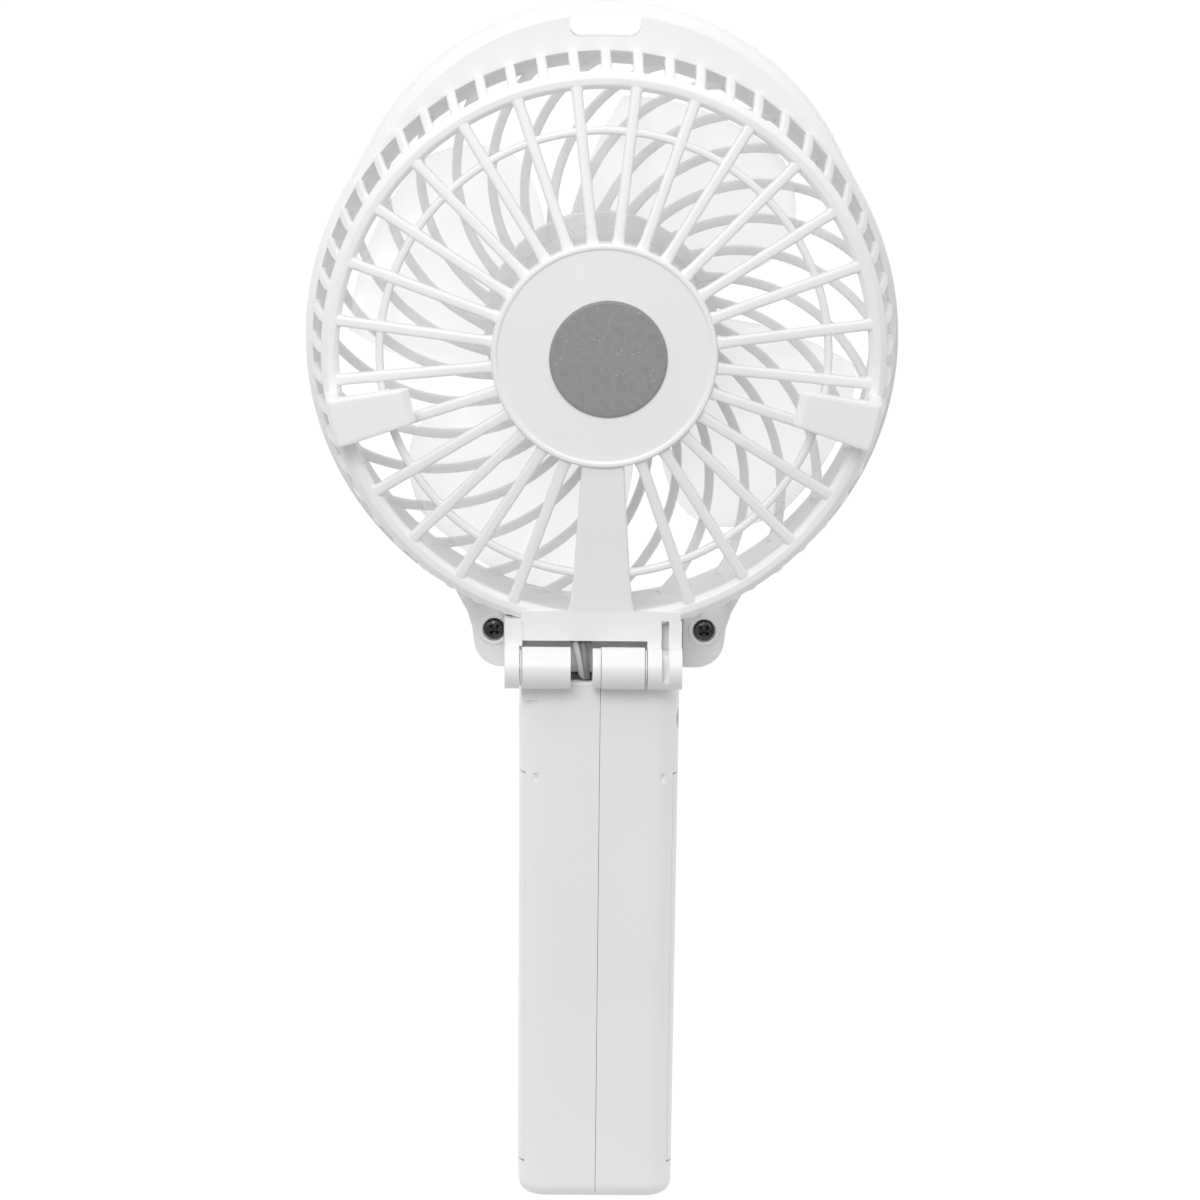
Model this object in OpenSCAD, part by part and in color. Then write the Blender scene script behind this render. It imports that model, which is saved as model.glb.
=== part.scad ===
// Folding hand fan: a caged head on a friction hinge at the top of a battery handle.
// Row frame: +Z up the handle, the air leaves towards -Y, origin at the centre of the handle's base.
// Head modules are drawn about the fan's own axis: x right, y up, z forward, seen from the front.

/* [Head] */
// Height of the fan's axis above the base of the handle
head_z = 152.4; // [152:0.1:154]
// Radius of the cage where the two head shells meet
cage_r = 52.6; // [52.4:0.1:53]
// Height of the head's crown above the fan's axis
crown_h = 59.8; // [59.6:0.1:60]
// Radius of the crown's upper arc
crown_r = 46.5; // [46:0.1:47]
// Forward distance of the plane where the two head shells meet
part_f = 7; // [6.8:0.1:7.2]
// Forward distance of the front grille's face
front_f = 19; // [19:0.1:20]
// Wall thickness of the head shells
head_wall = 1.6; // [1.5:0.1:1.8]

/* [Grilles] */
// Number of rib places round the rear and the front grille
rib_count = 28; // [28:28]
// Width of a radial rib of the rear grille
rib_w = 1.9; // [1.4:0.1:2]
// Width of a side rib of the cage
side_rib_w = 1.8; // [1.2:0.1:2]
// Width of a spiral rib of the front grille
spiral_w = 1.8; // [1.6:0.1:2]
// Radius of the rear ring's centre line
ring_r = 48.2; // [47.8:0.1:48.3]
// Radius of the thin middle ring
mid_ring_r = 39.5; // [38:0.1:41]
// Radius of the rear hub plate
hub_r = 19.9; // [19.5:0.1:20.2]
// Radius of the round badge on the hub plate
badge_r = 10.4; // [9:0.1:11]

/* [Impeller] */
// Number of blades
blade_count = 4; // [3:5]
// Tip radius of the blades
blade_r = 45; // [44:0.1:45.4]
// Radius of the impeller's cup
cup_r = 19.4; // [19:0.1:19.5]
// Thickness of a blade
blade_t = 1.2; // [1:0.1:1.4]

/* [Motor] */
// Diameter of the motor can
motor_d = 24.4; // [24.2:0.1:24.4]
// Length of the motor can
motor_len = 12.3; // [12:0.1:12.4]
// Diameter of the motor shaft
shaft_d = 2; // [1.9:0.05:2]

/* [Hinge] */
// Height of the hinge axis above the base
hinge_z = 96.5; // [96.3:0.1:96.7]
// Distance of the hinge axis behind the handle's centre plane
hinge_y = 15; // [15:0.1:15.2]
// Radius of the hinge barrels
barrel_r = 3.7; // [3.6:0.05:3.75]
// Diameter of the hinge pins
pin_d = 2.5; // [2.2:0.1:2.6]

/* [Handle] */
// Width of the handle at its top
handle_w = 28.2; // [28.2:0.1:28.4]
// Depth of the handle from front to back
handle_d = 25; // [25:0.1:25.2]
// Height of the handle's top face
handle_h = 93.6; // [93.4:0.1:93.6]
// Corner radius of the handle's section
handle_corner = 5; // [4:0.5:5.5]
// Wall thickness of the handle
handle_wall = 1.8; // [1.7:0.1:1.9]
// Lean of each side wall, which narrows the handle towards its base
side_lean = 0.34; // [0.2:0.02:0.4]

/* [Battery] */
// Diameter of the round cell in its sleeve
cell_d = 18.4; // [18:0.1:18.6]
// Length of the cell without its raised cap
cell_len = 64; // [63.5:0.1:64]

/* [Controls] */
// Diameter of the power button
button_d = 8; // [7:0.1:8.4]
// Height of the power button above the base
button_z = 84; // [83.5:0.1:84.5]
// Travel of the power button
button_travel = 0.5; // [0.4:0.05:0.5]

/* [Hidden] */
$fn = 64;

eps = 0.02;
running_gap = 0.03;
seam = 0.04;

// Head: forward distances from the handle's centre plane, and the outline
hub_f = -16.5;
ring_f = -10.9;
ring_tube_r = 1.5;
flange_t = 1.8;
air_r = cage_r - 1.7;
crown_y = crown_h - crown_r;
tangent_a = asin((cage_r - crown_r) / crown_y);
slot_y = 56;
slot_w = 12.6;
slot_h = 4.8;
ear_x = 18.7;
ear_y = -52.7;
ear_r = 5;
ear_out = 22.3;
ear_in = 14.9;
ear_bottom = -59.5;
skirt_bottom = -58.1;
boss_t = 5.5;
rib_pitch = 360 / rib_count;
spiral_arc_r = 29.7;
spiral_start_a = 22;
hook_in = 34.9;
hook_out = 49.6;
hook_a0 = 8.7;
hook_sweep = 10.3;
hook_back_f = -21;
hook_t = 2.6;

// Hinge: the axis in the head's own frame, and the spans of its knuckles along X
axis_f = -hinge_y;
axis_up = hinge_z - head_z;
knuckle_a = [5.4, 13.95];
knuckle_b = [seam, 1.5];
knuckle_c = [-7.7, -seam];
cheek_right = [-14.3, -8.2];
cheek_left = [14.45, 17];
cheek_top = -47.7;
groove_x = [-12, -10.7];
block_x = 14;
block_back = -12.35;
swing_gap = 0.45;

// Motor and impeller: forward distances
motor_f = -13.7;
motor_wall = 1.5;
shaft_front_f = 7.4;
shaft_back_f = -14.3;
cup_front_f = 8;
cup_back_f = -9.2;
cup_wall = 1.4;
blade_base_a = 71.9;
blade_back_f = -7;
blade_front_f = 6.4;

// Handle
cover_z0 = 6.3;
cover_z1 = 76.7;
cover_y = 10.3;
cover_wall = 1.6;
cover_gap = 0.15;
foot_r = 2.6;
rim_r = 0.7;
cradle_x = [9.4, 10.4];
floor_t = 2;
half_w = handle_w / 2;
half_d = handle_d / 2;
bulkhead_z = 75.5;
cell_z = 9.7;
cell_cap_h = 1;
board_y = -6.8;
board_t = 1;
button_top = half_d + 0.6;
port_z = 84;
// Places, as [y, z], of the two screws that join the handle's halves, and the radius of their bosses
screw_places = [[7.6, 86.4], [6, 3.6]];
screw_boss_r = 2.4;

// Motor leads: radius, places along X, and routes as [up, forward] in the head and [y, z] in the handle
lead_r = 0.4;
lead_x = [2.4, 3.9];
lead_route_head = [
    [-8, -14.2], [-12.8, -14.2], [-15, -13.5], [-17.5, -12.8], [-20, -12.2], [-24, -11.8], [-30, -11.1],
    [-36, -10.4], [-43, -9.4], [-46, -9], [-49.6, -9], [-51.6, -9.8], [-53.6, -11.8],
    [axis_up + 0.5, axis_f + 0.6]];
lead_route_handle = [
    [hinge_y - 0.6, hinge_z - 0.5], [12.9, 94.9], [11.6, 94.5], [10.2, 93.9], [9, 92.6], [7.4, 91.2],
    [4, 90.4], [-1, 90], [-4.6, 89.2], [-5.2, 88.8]];

// Point lists
function arc(cx, cy, r, a0, a1, n) =
    [for (i = [0:n]) let (a = a0 + (a1 - a0) * i / n) [cx + r * cos(a), cy + r * sin(a)]];
function rounded(w, d, r, n = 8) = concat(
    arc(w - r, d - r, r, 0, 90, n),
    arc(r - w, d - r, r, 90, 180, n),
    arc(r - w, r - d, r, 180, 270, n),
    arc(w - r, r - d, r, 270, 360, n));

// Sweep of a round wire along a path, as rings of points joined into one closed solid
function unit(v) = v / norm(v);
function tangent(p, i) = unit(p[min(i + 1, len(p) - 1)] - p[max(i - 1, 0)]);
function side_of(t) = unit(cross(t, abs(t[2]) < 0.9 ? [0, 0, 1] : [1, 0, 0]));
module wire(p, r, sides = 8) {
    rings = len(p);
    points = [for (i = [0:rings - 1]) let (t = tangent(p, i), u = side_of(t), v = cross(t, u))
        for (k = [0:sides - 1]) p[i] + r * (cos(360 * k / sides) * u + sin(360 * k / sides) * v)];
    walls = [for (i = [0:rings - 2]) for (k = [0:sides - 1]) let (n = (k + 1) % sides)
        [i * sides + k, i * sides + n, (i + 1) * sides + n, (i + 1) * sides + k]];
    first = [[for (k = [0:sides - 1]) sides - 1 - k]];
    last = [[for (k = [0:sides - 1]) (rings - 1) * sides + k]];
    polyhedron(points, concat(walls, first, last));
}

// Frames and small helpers
module head_frame() {
    translate([0, 0, head_z]) rotate([90, 0, 0]) children();
}
module round_about(count, start = 0) {
    for (i = [0:count - 1]) rotate(start + i * 360 / count) children();
}
module disc(r, f0, f1) {
    translate([0, 0, f0]) cylinder(r = r, h = f1 - f0);
}
module tube(r_out, r_in, f0, f1) {
    difference() {
        disc(r_out, f0, f1);
        disc(r_in, f0 - 1, f1 + 1);
    }
}
module span_box(x, y, z) {
    translate([x[0], y[0], z[0]]) cube([x[1] - x[0], y[1] - y[0], z[1] - z[0]]);
}
// A cylinder along X over the span x
module along_x(x, r) {
    translate([x[0], 0, 0]) rotate([0, 90, 0]) cylinder(r = r, h = x[1] - x[0]);
}
module at_axis_in_head() {
    translate([0, axis_up, axis_f]) children();
}
module at_axis() {
    translate([0, hinge_y, hinge_z]) children();
}

// Outline shared by the two head shells
module teardrop(inset = 0) {
    polygon(concat(
        arc(0, 0, cage_r - inset, 180 - tangent_a, 360 + tangent_a, 72),
        arc(0, crown_y, crown_r - inset, tangent_a, 180 - tangent_a, 28)));
}
module ears() {
    for (s = [-1, 1]) scale([s, 1]) polygon(concat(
        [[ear_in, -44], [ear_in, ear_bottom]],
        arc(ear_out - ear_r, ear_bottom + ear_r, ear_r, 270, 360, 8),
        [[ear_out + 0.2, -53], [ear_out + 1.1, -50], [ear_out + 3.4, -45.4], [20, -40]]));
}
module lanyard_slot(f0, f1) {
    translate([0, slot_y, f0]) linear_extrude(f1 - f0)
        polygon([for (p = rounded(slot_w / 2, slot_h / 2, 1.9)) p]);
}

// Rear shell: grille, hub, flange, hinge block and hooks in one moulding
module cage_pattern() {
    for (i = [0:rib_count - 1]) {
        if (i != rib_count / 2 - 1 && i != rib_count / 2)
            rotate(90 + rib_pitch * (i + 0.5)) translate([hub_r - 3, -rib_w / 2])
                square([ring_r - hub_r + 4, rib_w]);
    }
    round_about(2 * rib_count, 90) translate([ring_r - 1.2, -side_rib_w / 2])
        square([cage_r - ring_r + 1.4, side_rib_w]);
}
module cage() {
    intersection() {
        translate([0, 0, hub_f]) linear_extrude(part_f - hub_f) cage_pattern();
        rotate_extrude() polygon([
            [hub_r - 4, hub_f + 1], [ring_r - 0.8, ring_f - 1.2], [ring_r + 1.4, ring_f + 0.4],
            [cage_r - 0.9, part_f - 0.7], [cage_r - 2.2, part_f - 0.7],
            [ring_r - 0.2, ring_f + 1.2], [ring_r - 1.6, ring_f + 0.6], [hub_r - 4, hub_f + 2.8]]);
    }
    rotate_extrude() translate([ring_r, ring_f]) circle(r = ring_tube_r);
    rotate_extrude() translate([mid_ring_r - 0.65, hub_f + 3.4]) square([1.3, 1.5]);
}
module hub() {
    difference() {
        union() {
            disc(hub_r, hub_f + 0.3, hub_f + 4);
            tube(hub_r, hub_r - 0.8, hub_f, hub_f + 1);
            disc(motor_d / 2 + motor_wall, hub_f + 1, motor_f + motor_len - 2);
        }
        disc(motor_d / 2, motor_f - eps, 0);
        disc(motor_d / 2 - 1.2, hub_f + 1.8, 0);
        tube(hub_r - 1.5, motor_d / 2 + motor_wall, hub_f + 1.8, hub_f + 5);
        span_box([1, 6], [-hub_r - 1, -9], [hub_f + 1.8, hub_f + 4.5]);
    }
}
// The wide spoke that hides the motor leads, tapering from the hinge block to the hub
module spoke() {
    intersection() {
        translate([0, 0, hub_f]) linear_extrude(10)
            polygon([[-3.6, 2 - hub_r], [3.6, 2 - hub_r], [5.8, -44.4], [-5.8, -44.4]]);
        rotate([0, -90, 0]) translate([0, 0, -8]) linear_extrude(16) polygon([
            [hub_f + 0.9, 1 - hub_r], [hub_f + 3.6, 1 - hub_r],
            [block_back + 2.2, -46], [block_back - 0.2, -46]]);
    }
}
module flange() {
    difference() {
        translate([0, 0, part_f - flange_t]) linear_extrude(flange_t - eps) {
            teardrop(0.4);
            ears();
        }
        disc(air_r + 0.2, 0, part_f + 1);
    }
}
module hinge_block() {
    difference() {
        union() {
            span_box([-block_x, block_x], [-51.6, -46.5], [block_back, -6]);
            span_box([-block_x, block_x], [skirt_bottom, -46.5], [-7, part_f - eps]);
            span_box([block_x - 1, cheek_left[1]], [-57, cheek_top], [block_back - 0.25, part_f - eps]);
            span_box(cheek_left, [axis_up, cheek_top], [block_back - 0.25, -8]);
            span_box(cheek_right, [axis_up, -48], [block_back, -7]);
            at_axis_in_head() {
                along_x(cheek_left, barrel_r);
                along_x(cheek_right, barrel_r);
            }
        }
        // Space for the impeller, hollow skirt, groove, and the swing of the handle's knuckles
        disc(46.6, -9, part_f + 1);
        span_box([1.6 - block_x, block_x - 1.6], [-56.5, -49.5], [-5.4, part_f + 1]);
        span_box(groove_x, [axis_up + 2.6, cheek_top - 0.2], [-20, block_back + 2.8]);
        span_box(groove_x, [axis_up - 2.1, axis_up + 2.7], [-20, axis_f - 1.5]);
        span_box([1.5, 5.5], [-53, -45], [block_back + 1.8, -5]);
        at_axis_in_head() {
            along_x([cheek_right[1], cheek_left[0]], barrel_r + swing_gap);
            along_x([-13.4, -8], pin_d / 2 + running_gap);
            along_x([14, 16.2], pin_d / 2 + running_gap);
        }
        span_box([cheek_right[1], cheek_left[0]], [-62, axis_up + 1], [-20, axis_f + 7.4]);
    }
}
module hooks() {
    for (s = [0, 1]) mirror([s, 0, 0]) rotate(-hook_a0 - hook_sweep) {
        rotate_extrude(angle = hook_sweep) polygon([
            [hook_in, hook_back_f + 0.9], [hook_in + 1.2, hook_back_f],
            [hook_out - 0.6, hook_back_f], [hook_out, hook_back_f + 0.6],
            [hook_out, ring_f + 0.3], [hook_out - 2.4, ring_f + 0.3],
            [hook_out - 2.4, hook_back_f + hook_t], [hook_in, hook_back_f + hook_t - 0.6]]);
    }
}
module rear_shell() color("white") head_frame() {
    difference() {
        union() {
            cage();
            hub();
            spoke();
            flange();
            hinge_block();
            hooks();
        }
        lanyard_slot(0, part_f + 1);
        for (s = [-1, 1]) translate([s * ear_x, ear_y, 0]) {
            cylinder(r = 1.1, h = part_f + 1);
            cylinder(r = 2, h = part_f - 1.2);
        }
    }
}
module rear_badge() color("gray") head_frame() {
    translate([-0.7, -0.5, 0]) disc(badge_r, hub_f - 0.1, hub_f + 0.3);
}

// Front housing: bowl rim, spiral ribs, centre cap, crown plate and thick ears for the screws
module bowl_rim() {
    rotate_extrude() polygon([
        [cage_r, part_f], [cage_r, part_f + 2.5], [cage_r - 0.8, part_f + 5.5],
        [cage_r - 2.9, part_f + 8.2], [cage_r - 4.3, part_f + 7.1], [cage_r - 2.5, part_f + 4.9],
        [cage_r - 1.7, part_f + 2.2], [cage_r - 1.7, part_f]]);
}
// Curved band that the spiral ribs are cut from
module bowl_band() {
    rotate_extrude() polygon([
        [hub_r - 1, front_f], [30, front_f], [cage_r - 14, front_f - 0.7],
        [cage_r - 7, front_f - 1.9], [cage_r - 2.7, part_f + 8], [cage_r - 3.9, part_f + 7],
        [cage_r - 7.7, front_f - 3.5], [cage_r - 14.3, front_f - 2.4],
        [30, front_f - head_wall], [hub_r - 1, front_f - head_wall]]);
}
module spiral_rib() {
    rotate(spiral_start_a - 90) translate([0, 0, part_f + 1])
        rotate_extrude(angle = 92) translate([spiral_arc_r - spiral_w / 2, 0])
            square([spiral_w, front_f - part_f]);
}
module front_housing() color("white") head_frame() {
    difference() {
        union() {
            intersection() {
                bowl_band();
                round_about(rib_count)
                    translate([hub_r + 0.3 - spiral_arc_r * sin(spiral_start_a),
                        spiral_arc_r * cos(spiral_start_a), 0]) spiral_rib();
            }
            bowl_rim();
            disc(hub_r + 0.9, front_f - head_wall - 0.3, front_f + 0.3);
            difference() {
                translate([0, 0, part_f]) linear_extrude(2) {
                    teardrop();
                    ears();
                    translate([-ear_in, skirt_bottom]) square([2 * ear_in, 12]);
                }
                translate([0, 0, part_f + 1]) linear_extrude(boss_t - 1) ears();
                disc(air_r, part_f - 1, part_f + boss_t + 1);
            }
        }
        lanyard_slot(part_f - 1, part_f + 4);
        for (s = [-1, 1]) translate([s * ear_x, ear_y, part_f - 1]) cylinder(r = 0.9, h = boss_t + 0.5);
        disc(14.1, front_f - 0.3, front_f + 1);
    }
}
module front_badge() color("silver") head_frame() disc(14, front_f - 0.3, front_f + 0.4);

// Impeller: cup with a shaft boss, and helical petal blades
function blade_lead(u) = 22 * pow(u, 0.85);
function blade_trail(u) = 78 + 24 * u * (1 - u) - 15 * pow(u, 5);
function blade_point(u, v, off) = let (
    r = cup_r - 0.7 + (blade_r - cup_r + 0.7) * u,
    a = blade_lead(u) + (blade_trail(u) - blade_lead(u)) * v)
    [r * cos(a), r * sin(a), blade_back_f + (blade_front_f - blade_back_f) * v + off];
module blade(nu = 8, nv = 10) {
    row = nv + 1;
    layer = (nu + 1) * row;
    points = [for (s = [-1, 1]) for (i = [0:nu]) for (j = [0:nv])
        blade_point(i / nu, j / nv, s * blade_t / 2)];
    under = [for (i = [0:nu - 1]) for (j = [0:nv - 1]) each [
        [i * row + j, i * row + j + 1, (i + 1) * row + j + 1],
        [i * row + j, (i + 1) * row + j + 1, (i + 1) * row + j]]];
    over = [for (t = under) [t[2] + layer, t[1] + layer, t[0] + layer]];
    edge = concat(
        [for (i = [0:nu - 1]) [i * row, (i + 1) * row]],
        [for (j = [0:nv - 1]) [nu * row + j, nu * row + j + 1]],
        [for (i = [nu:-1:1]) [i * row + nv, (i - 1) * row + nv]],
        [for (j = [nv:-1:1]) [j, j - 1]]);
    rim = [for (e = edge) each [[e[0], e[1], e[1] + layer], [e[0], e[1] + layer, e[0] + layer]]];
    polyhedron(points, [for (t = concat(under, over, rim)) [t[2], t[1], t[0]]]);
}
module impeller() color("whitesmoke", 0.5) head_frame() {
    round_about(blade_count, blade_base_a) blade();
    difference() {
        union() {
            difference() {
                disc(cup_r, cup_back_f, cup_front_f);
                disc(cup_r - cup_wall, cup_back_f - 1, cup_front_f - cup_wall);
            }
            disc(3, 0.6, cup_front_f - 1);
        }
        disc(shaft_d / 2, 0, shaft_front_f);
    }
}

// Motor
module motor_can() color("silver") head_frame() difference() {
    union() {
        disc(motor_d / 2 - eps, motor_f + 1.6, motor_f + motor_len);
        disc(3.1, motor_f + motor_len - 1, motor_f + motor_len + 1);
    }
    disc(motor_d / 2 - 0.9, motor_f, motor_f + motor_len - 0.8);
    disc(2.2, motor_f, motor_f + motor_len + 0.7);
    disc(1.3, motor_f, motor_f + motor_len + 2);
}
module motor_end_cap() color("white") head_frame() difference() {
    disc(motor_d / 2 - eps, motor_f, motor_f + 1.6);
    disc(1.3, motor_f - 1, motor_f + 3);
    disc(2.2, motor_f + 0.6, motor_f + 3);
    for (s = [-1, 1]) translate([s * 7 - 0.4, -1.5, motor_f - 1]) cube([0.8, 3, 4]);
}
module motor_shaft() color("silver") head_frame() disc(shaft_d / 2, shaft_back_f + 0.8, shaft_front_f);
module motor_bushes() color("peru") head_frame() {
    tube(2.2, shaft_d / 2 + running_gap, motor_f + 0.6, motor_f + 2.2);
    tube(2.2, shaft_d / 2 + running_gap, motor_f + motor_len - 1.3, motor_f + motor_len + 0.7);
}
module motor_magnets() color("dimgray") head_frame() {
    for (s = [0, 180]) rotate(s - 65) translate([0, 0, motor_f + 3]) rotate_extrude(angle = 130)
        translate([9, 0]) square([motor_d / 2 - 0.95 - 9, 7.4]);
}
module armature_core() color("slategray") head_frame() difference() {
    union() {
        disc(3, motor_f + 3.4, motor_f + 9.4);
        round_about(3, 90) {
            translate([0, -1, motor_f + 3.4]) cube([7, 2, 6]);
            rotate(-50) translate([0, 0, motor_f + 3.4]) rotate_extrude(angle = 100)
                translate([6.8, 0]) square([1.7, 6]);
        }
    }
    disc(shaft_d / 2, motor_f, motor_f + 12);
}
module armature_windings() color("chocolate") head_frame() round_about(3, 90) {
    translate([3.4, -1.9, motor_f + 2.9]) difference() {
        cube([3, 3.8, 7]);
        translate([-1, 0.88, 0.48]) cube([5, 2.04, 6.04]);
    }
}
module commutator() color("darkgoldenrod") head_frame()
    tube(1.9, shaft_d / 2, motor_f + 2.35, motor_f + 3.3);
module motor_brushes() color("darkgray") head_frame() {
    for (s = [-1, 1]) scale([s, 1, 1]) translate([1.95, -0.75, motor_f + 2.3]) cube([4.6, 1.5, 0.4]);
}
module motor_terminals() color("gold") head_frame() {
    for (s = [-1, 1]) translate([s * 7 - 0.3, -1.2, motor_f - 0.6]) cube([0.6, 2.4, 3]);
}

// Fasteners of the head
module cross_screw(head_r, head_h, r, len) {
    difference() {
        union() {
            cylinder(r = head_r, h = head_h);
            translate([0, 0, head_h - eps]) cylinder(r = r, h = len);
        }
        for (a = [0, 90]) rotate(a) translate([-head_r * 0.6, -0.25, -1]) cube([head_r * 1.2, 0.5, 1.7]);
    }
}
module head_screws() color("#2a2a2c") head_frame() {
    for (s = [-1, 1]) translate([s * ear_x, ear_y, part_f - flange_t - 0.5])
        cross_screw(1.8, 1.1, 0.9, 6);
}

// Hinge pins, pressed into the handle's knuckles and turning in the head's cheeks
module hinge_pins() color("silver") at_axis() {
    along_x([7.4, 16], pin_d / 2);
    along_x([-13.2, -1.6], pin_d / 2);
}
module hinge_washers() color("ivory") at_axis() {
    for (x = [[14.05, 14.35], [-8.1, -7.8]]) difference() {
        along_x(x, 3.2);
        along_x([x[0] - 1, x[1] + 1], pin_d / 2 + running_gap);
    }
}
// Leads: from the motor down the spoke to the hinge axis, then into the handle
module motor_leads_head() color("gainsboro") head_frame() {
    for (k = [0, 1]) wire(concat([[k == 0 ? -7 : 7, -1.7, -14.2]],
        [for (p = lead_route_head) [lead_x[k], p[0], p[1]]]), lead_r);
}
module motor_leads_handle() color("gainsboro") {
    for (k = [0, 1]) wire([for (p = lead_route_handle) [lead_x[k], p[0], p[1]]], lead_r);
}

// Handle: section, tapered halves and the two shells
module handle_section(inset) {
    polygon(rounded(half_w - inset, half_d - inset, handle_corner - inset));
}
// The +X half of the tapered handle between two heights, drawn in by inset, reaching back to x = reach
module handle_half(inset, z0, z1, reach = 0) {
    intersection() {
        translate([0, 0, handle_h]) rotate([0, side_lean, 0]) translate([0, 0, -handle_h - 2])
            linear_extrude(handle_h + 4) handle_section(inset);
        span_box([reach, half_w + 1], [-half_d - 1, half_d + 1], [z0, z1]);
    }
}
// The whole outer body: rounded sections that draw in at the foot and at the rim of the top
function body_ring(inset, z) = [for (p = rounded(half_w - (handle_h - z) * tan(side_lean) - inset,
    half_d - inset, handle_corner - inset)) [p[0], p[1], z]];
module handle_body() {
    rings = concat(
        [for (a = [0:18:90]) body_ring(foot_r * (1 - sin(a)), foot_r * (1 - cos(a)))],
        [for (a = [0:30:90]) body_ring(rim_r * (1 - cos(a)), handle_h - rim_r * (1 - sin(a)))]);
    sides = len(rings[0]);
    last = len(rings) - 1;
    polyhedron([for (r = rings) each r], concat(
        [for (i = [0:last - 1]) for (k = [0:sides - 1]) let (n = (k + 1) % sides)
            [i * sides + k, (i + 1) * sides + k, (i + 1) * sides + n, i * sides + n]],
        [[for (k = [0:sides - 1]) k]],
        [[for (k = [0:sides - 1]) last * sides + sides - 1 - k]]));
}
module shell_half() {
    difference() {
        intersection() {
            handle_body();
            span_box([seam, half_w + 1], [-half_d - 1, half_d + 1], [0, handle_h]);
        }
        handle_half(handle_wall, floor_t, handle_h - handle_wall, -1);
        span_box([-1, half_w + 1], [-half_d - 1, cover_y + 0.1],
            [cover_z0 - cover_gap, cover_z1 + cover_gap]);
        // Thumbnail notch at the top corner of the battery cover
        translate([11.2, half_d - 1.1, cover_z1 - 1.2]) rotate([0, 0, 32]) cube([3, 4, 1.4]);
    }
    // Bulkhead between the cell and the circuit board
    difference() {
        handle_half(handle_wall - 0.1, bulkhead_z, cover_z1 + 0.7, seam);
        span_box([-1, 4], [8.2, 11], [bulkhead_z - 1, cover_z1 + 2]);
        span_box([10.8, 16], [-13, cover_y + 0.1], [70, cover_z1 + cover_gap]);
        span_box([-1, 16], [-13, -10.4], [70, cover_z1 + cover_gap]);
    }
    // Cradle walls and ribs for the cell
    difference() {
        union() {
            span_box(cradle_x, [-2, half_d - handle_wall + 0.1], [cover_z0 - 0.5, bulkhead_z + 0.1]);
            for (z = [18, 40, 62])
                span_box([seam, cradle_x[1]], [4, half_d - handle_wall + 0.1], [z, z + 1.6]);
        }
        cylinder(r = cell_d / 2 + 0.1, h = 90);
        span_box([-1, 1.2], [9, 10.6], [5, 80]);
    }
    // Shelf under the negative contact
    difference() {
        handle_half(handle_wall - 0.1, cover_z0 - 1.6, cover_z0 - 0.3, seam);
        span_box([-1, 16], [-13, -10.4], [0, 20]);
    }
}
module knuckle(x, r) {
    at_axis() along_x(x, r);
    span_box(x, [hinge_y - 4.6, half_d - 0.3], [handle_h - 3.5, hinge_z - 0.6]);
}
// Relief in the handle's top rear edge for the head's parts that pass it
module top_relief() {
    at_axis() along_x([-half_w - 1, half_w + 1], barrel_r + swing_gap);
}
module pin_bore(x) {
    at_axis() along_x(x, pin_d / 2);
}
module handle_shell_left() color("white") {
    difference() {
        union() {
            difference() {
                shell_half();
                top_relief();
            }
            knuckle(knuckle_a, barrel_r);
            knuckle(knuckle_b, barrel_r - 0.2);
            along_screws([seam, 12.6], screw_boss_r);
        }
        pin_bore([knuckle_a[0] + 1, 20]);
        along_screws([-1, 9], 0.85);
        // Lead hole between the knuckles, and the charging port's window
        span_box([1.5, 5.4], [4, half_d - handle_wall], [handle_h - 4.2, hinge_z + 1]);
        span_box([10, 16], [board_y + 0.9, board_y + 3.9], [port_z - 3.9, port_z + 3.9]);
        button_hole();
    }
}
module handle_shell_right() color("white") {
    difference() {
        union() {
            difference() {
                mirror([1, 0, 0]) shell_half();
                top_relief();
            }
            knuckle(knuckle_c, barrel_r);
            along_screws([-12.6, -seam], screw_boss_r);
        }
        pin_bore([-20, -1.6]);
        along_screws([-20, 1], 1.1);
        along_screws([-20, -11.85], 2);
        button_hole();
    }
}
module button_hole() {
    translate([0, 1 - half_d + handle_wall, button_z]) rotate([90, 0, 0])
        cylinder(r = button_d / 2 + 0.1, h = 4);
    translate([0, 1 - half_d + handle_wall, button_z + 6.2]) rotate([90, 0, 0])
        cylinder(r = 1.2, h = 4);
}
module along_screws(x, r) {
    for (p = screw_places) translate([0, p[0], p[1]]) along_x(x, r);
}
module handle_screws() color("#2a2a2c") {
    for (p = screw_places) translate([-13.4, p[0], p[1]]) rotate([0, 90, 0])
        cross_screw(1.7, 1.5, 0.85, 19);
}
module battery_cover() color("white") {
    for (s = [0, 1]) mirror([s, 0, 0]) intersection() {
        difference() {
            handle_half(0, cover_z0, cover_z1);
            handle_half(cover_wall, cover_z0 - 1, cover_z1 + 1, -1);
        }
        span_box([-1, 20], [-half_d - 1, cover_y - 0.1], [cover_z0 + 0.1, cover_z1 - 0.1]);
    }
    // Inner lips that hook under the shelf and the bulkhead
    span_box([-5, 5], [-half_d + cover_wall - 0.1, -half_d + cover_wall + 0.6], [cover_z0 + 4, cover_z1 - 4]);
}

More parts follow.
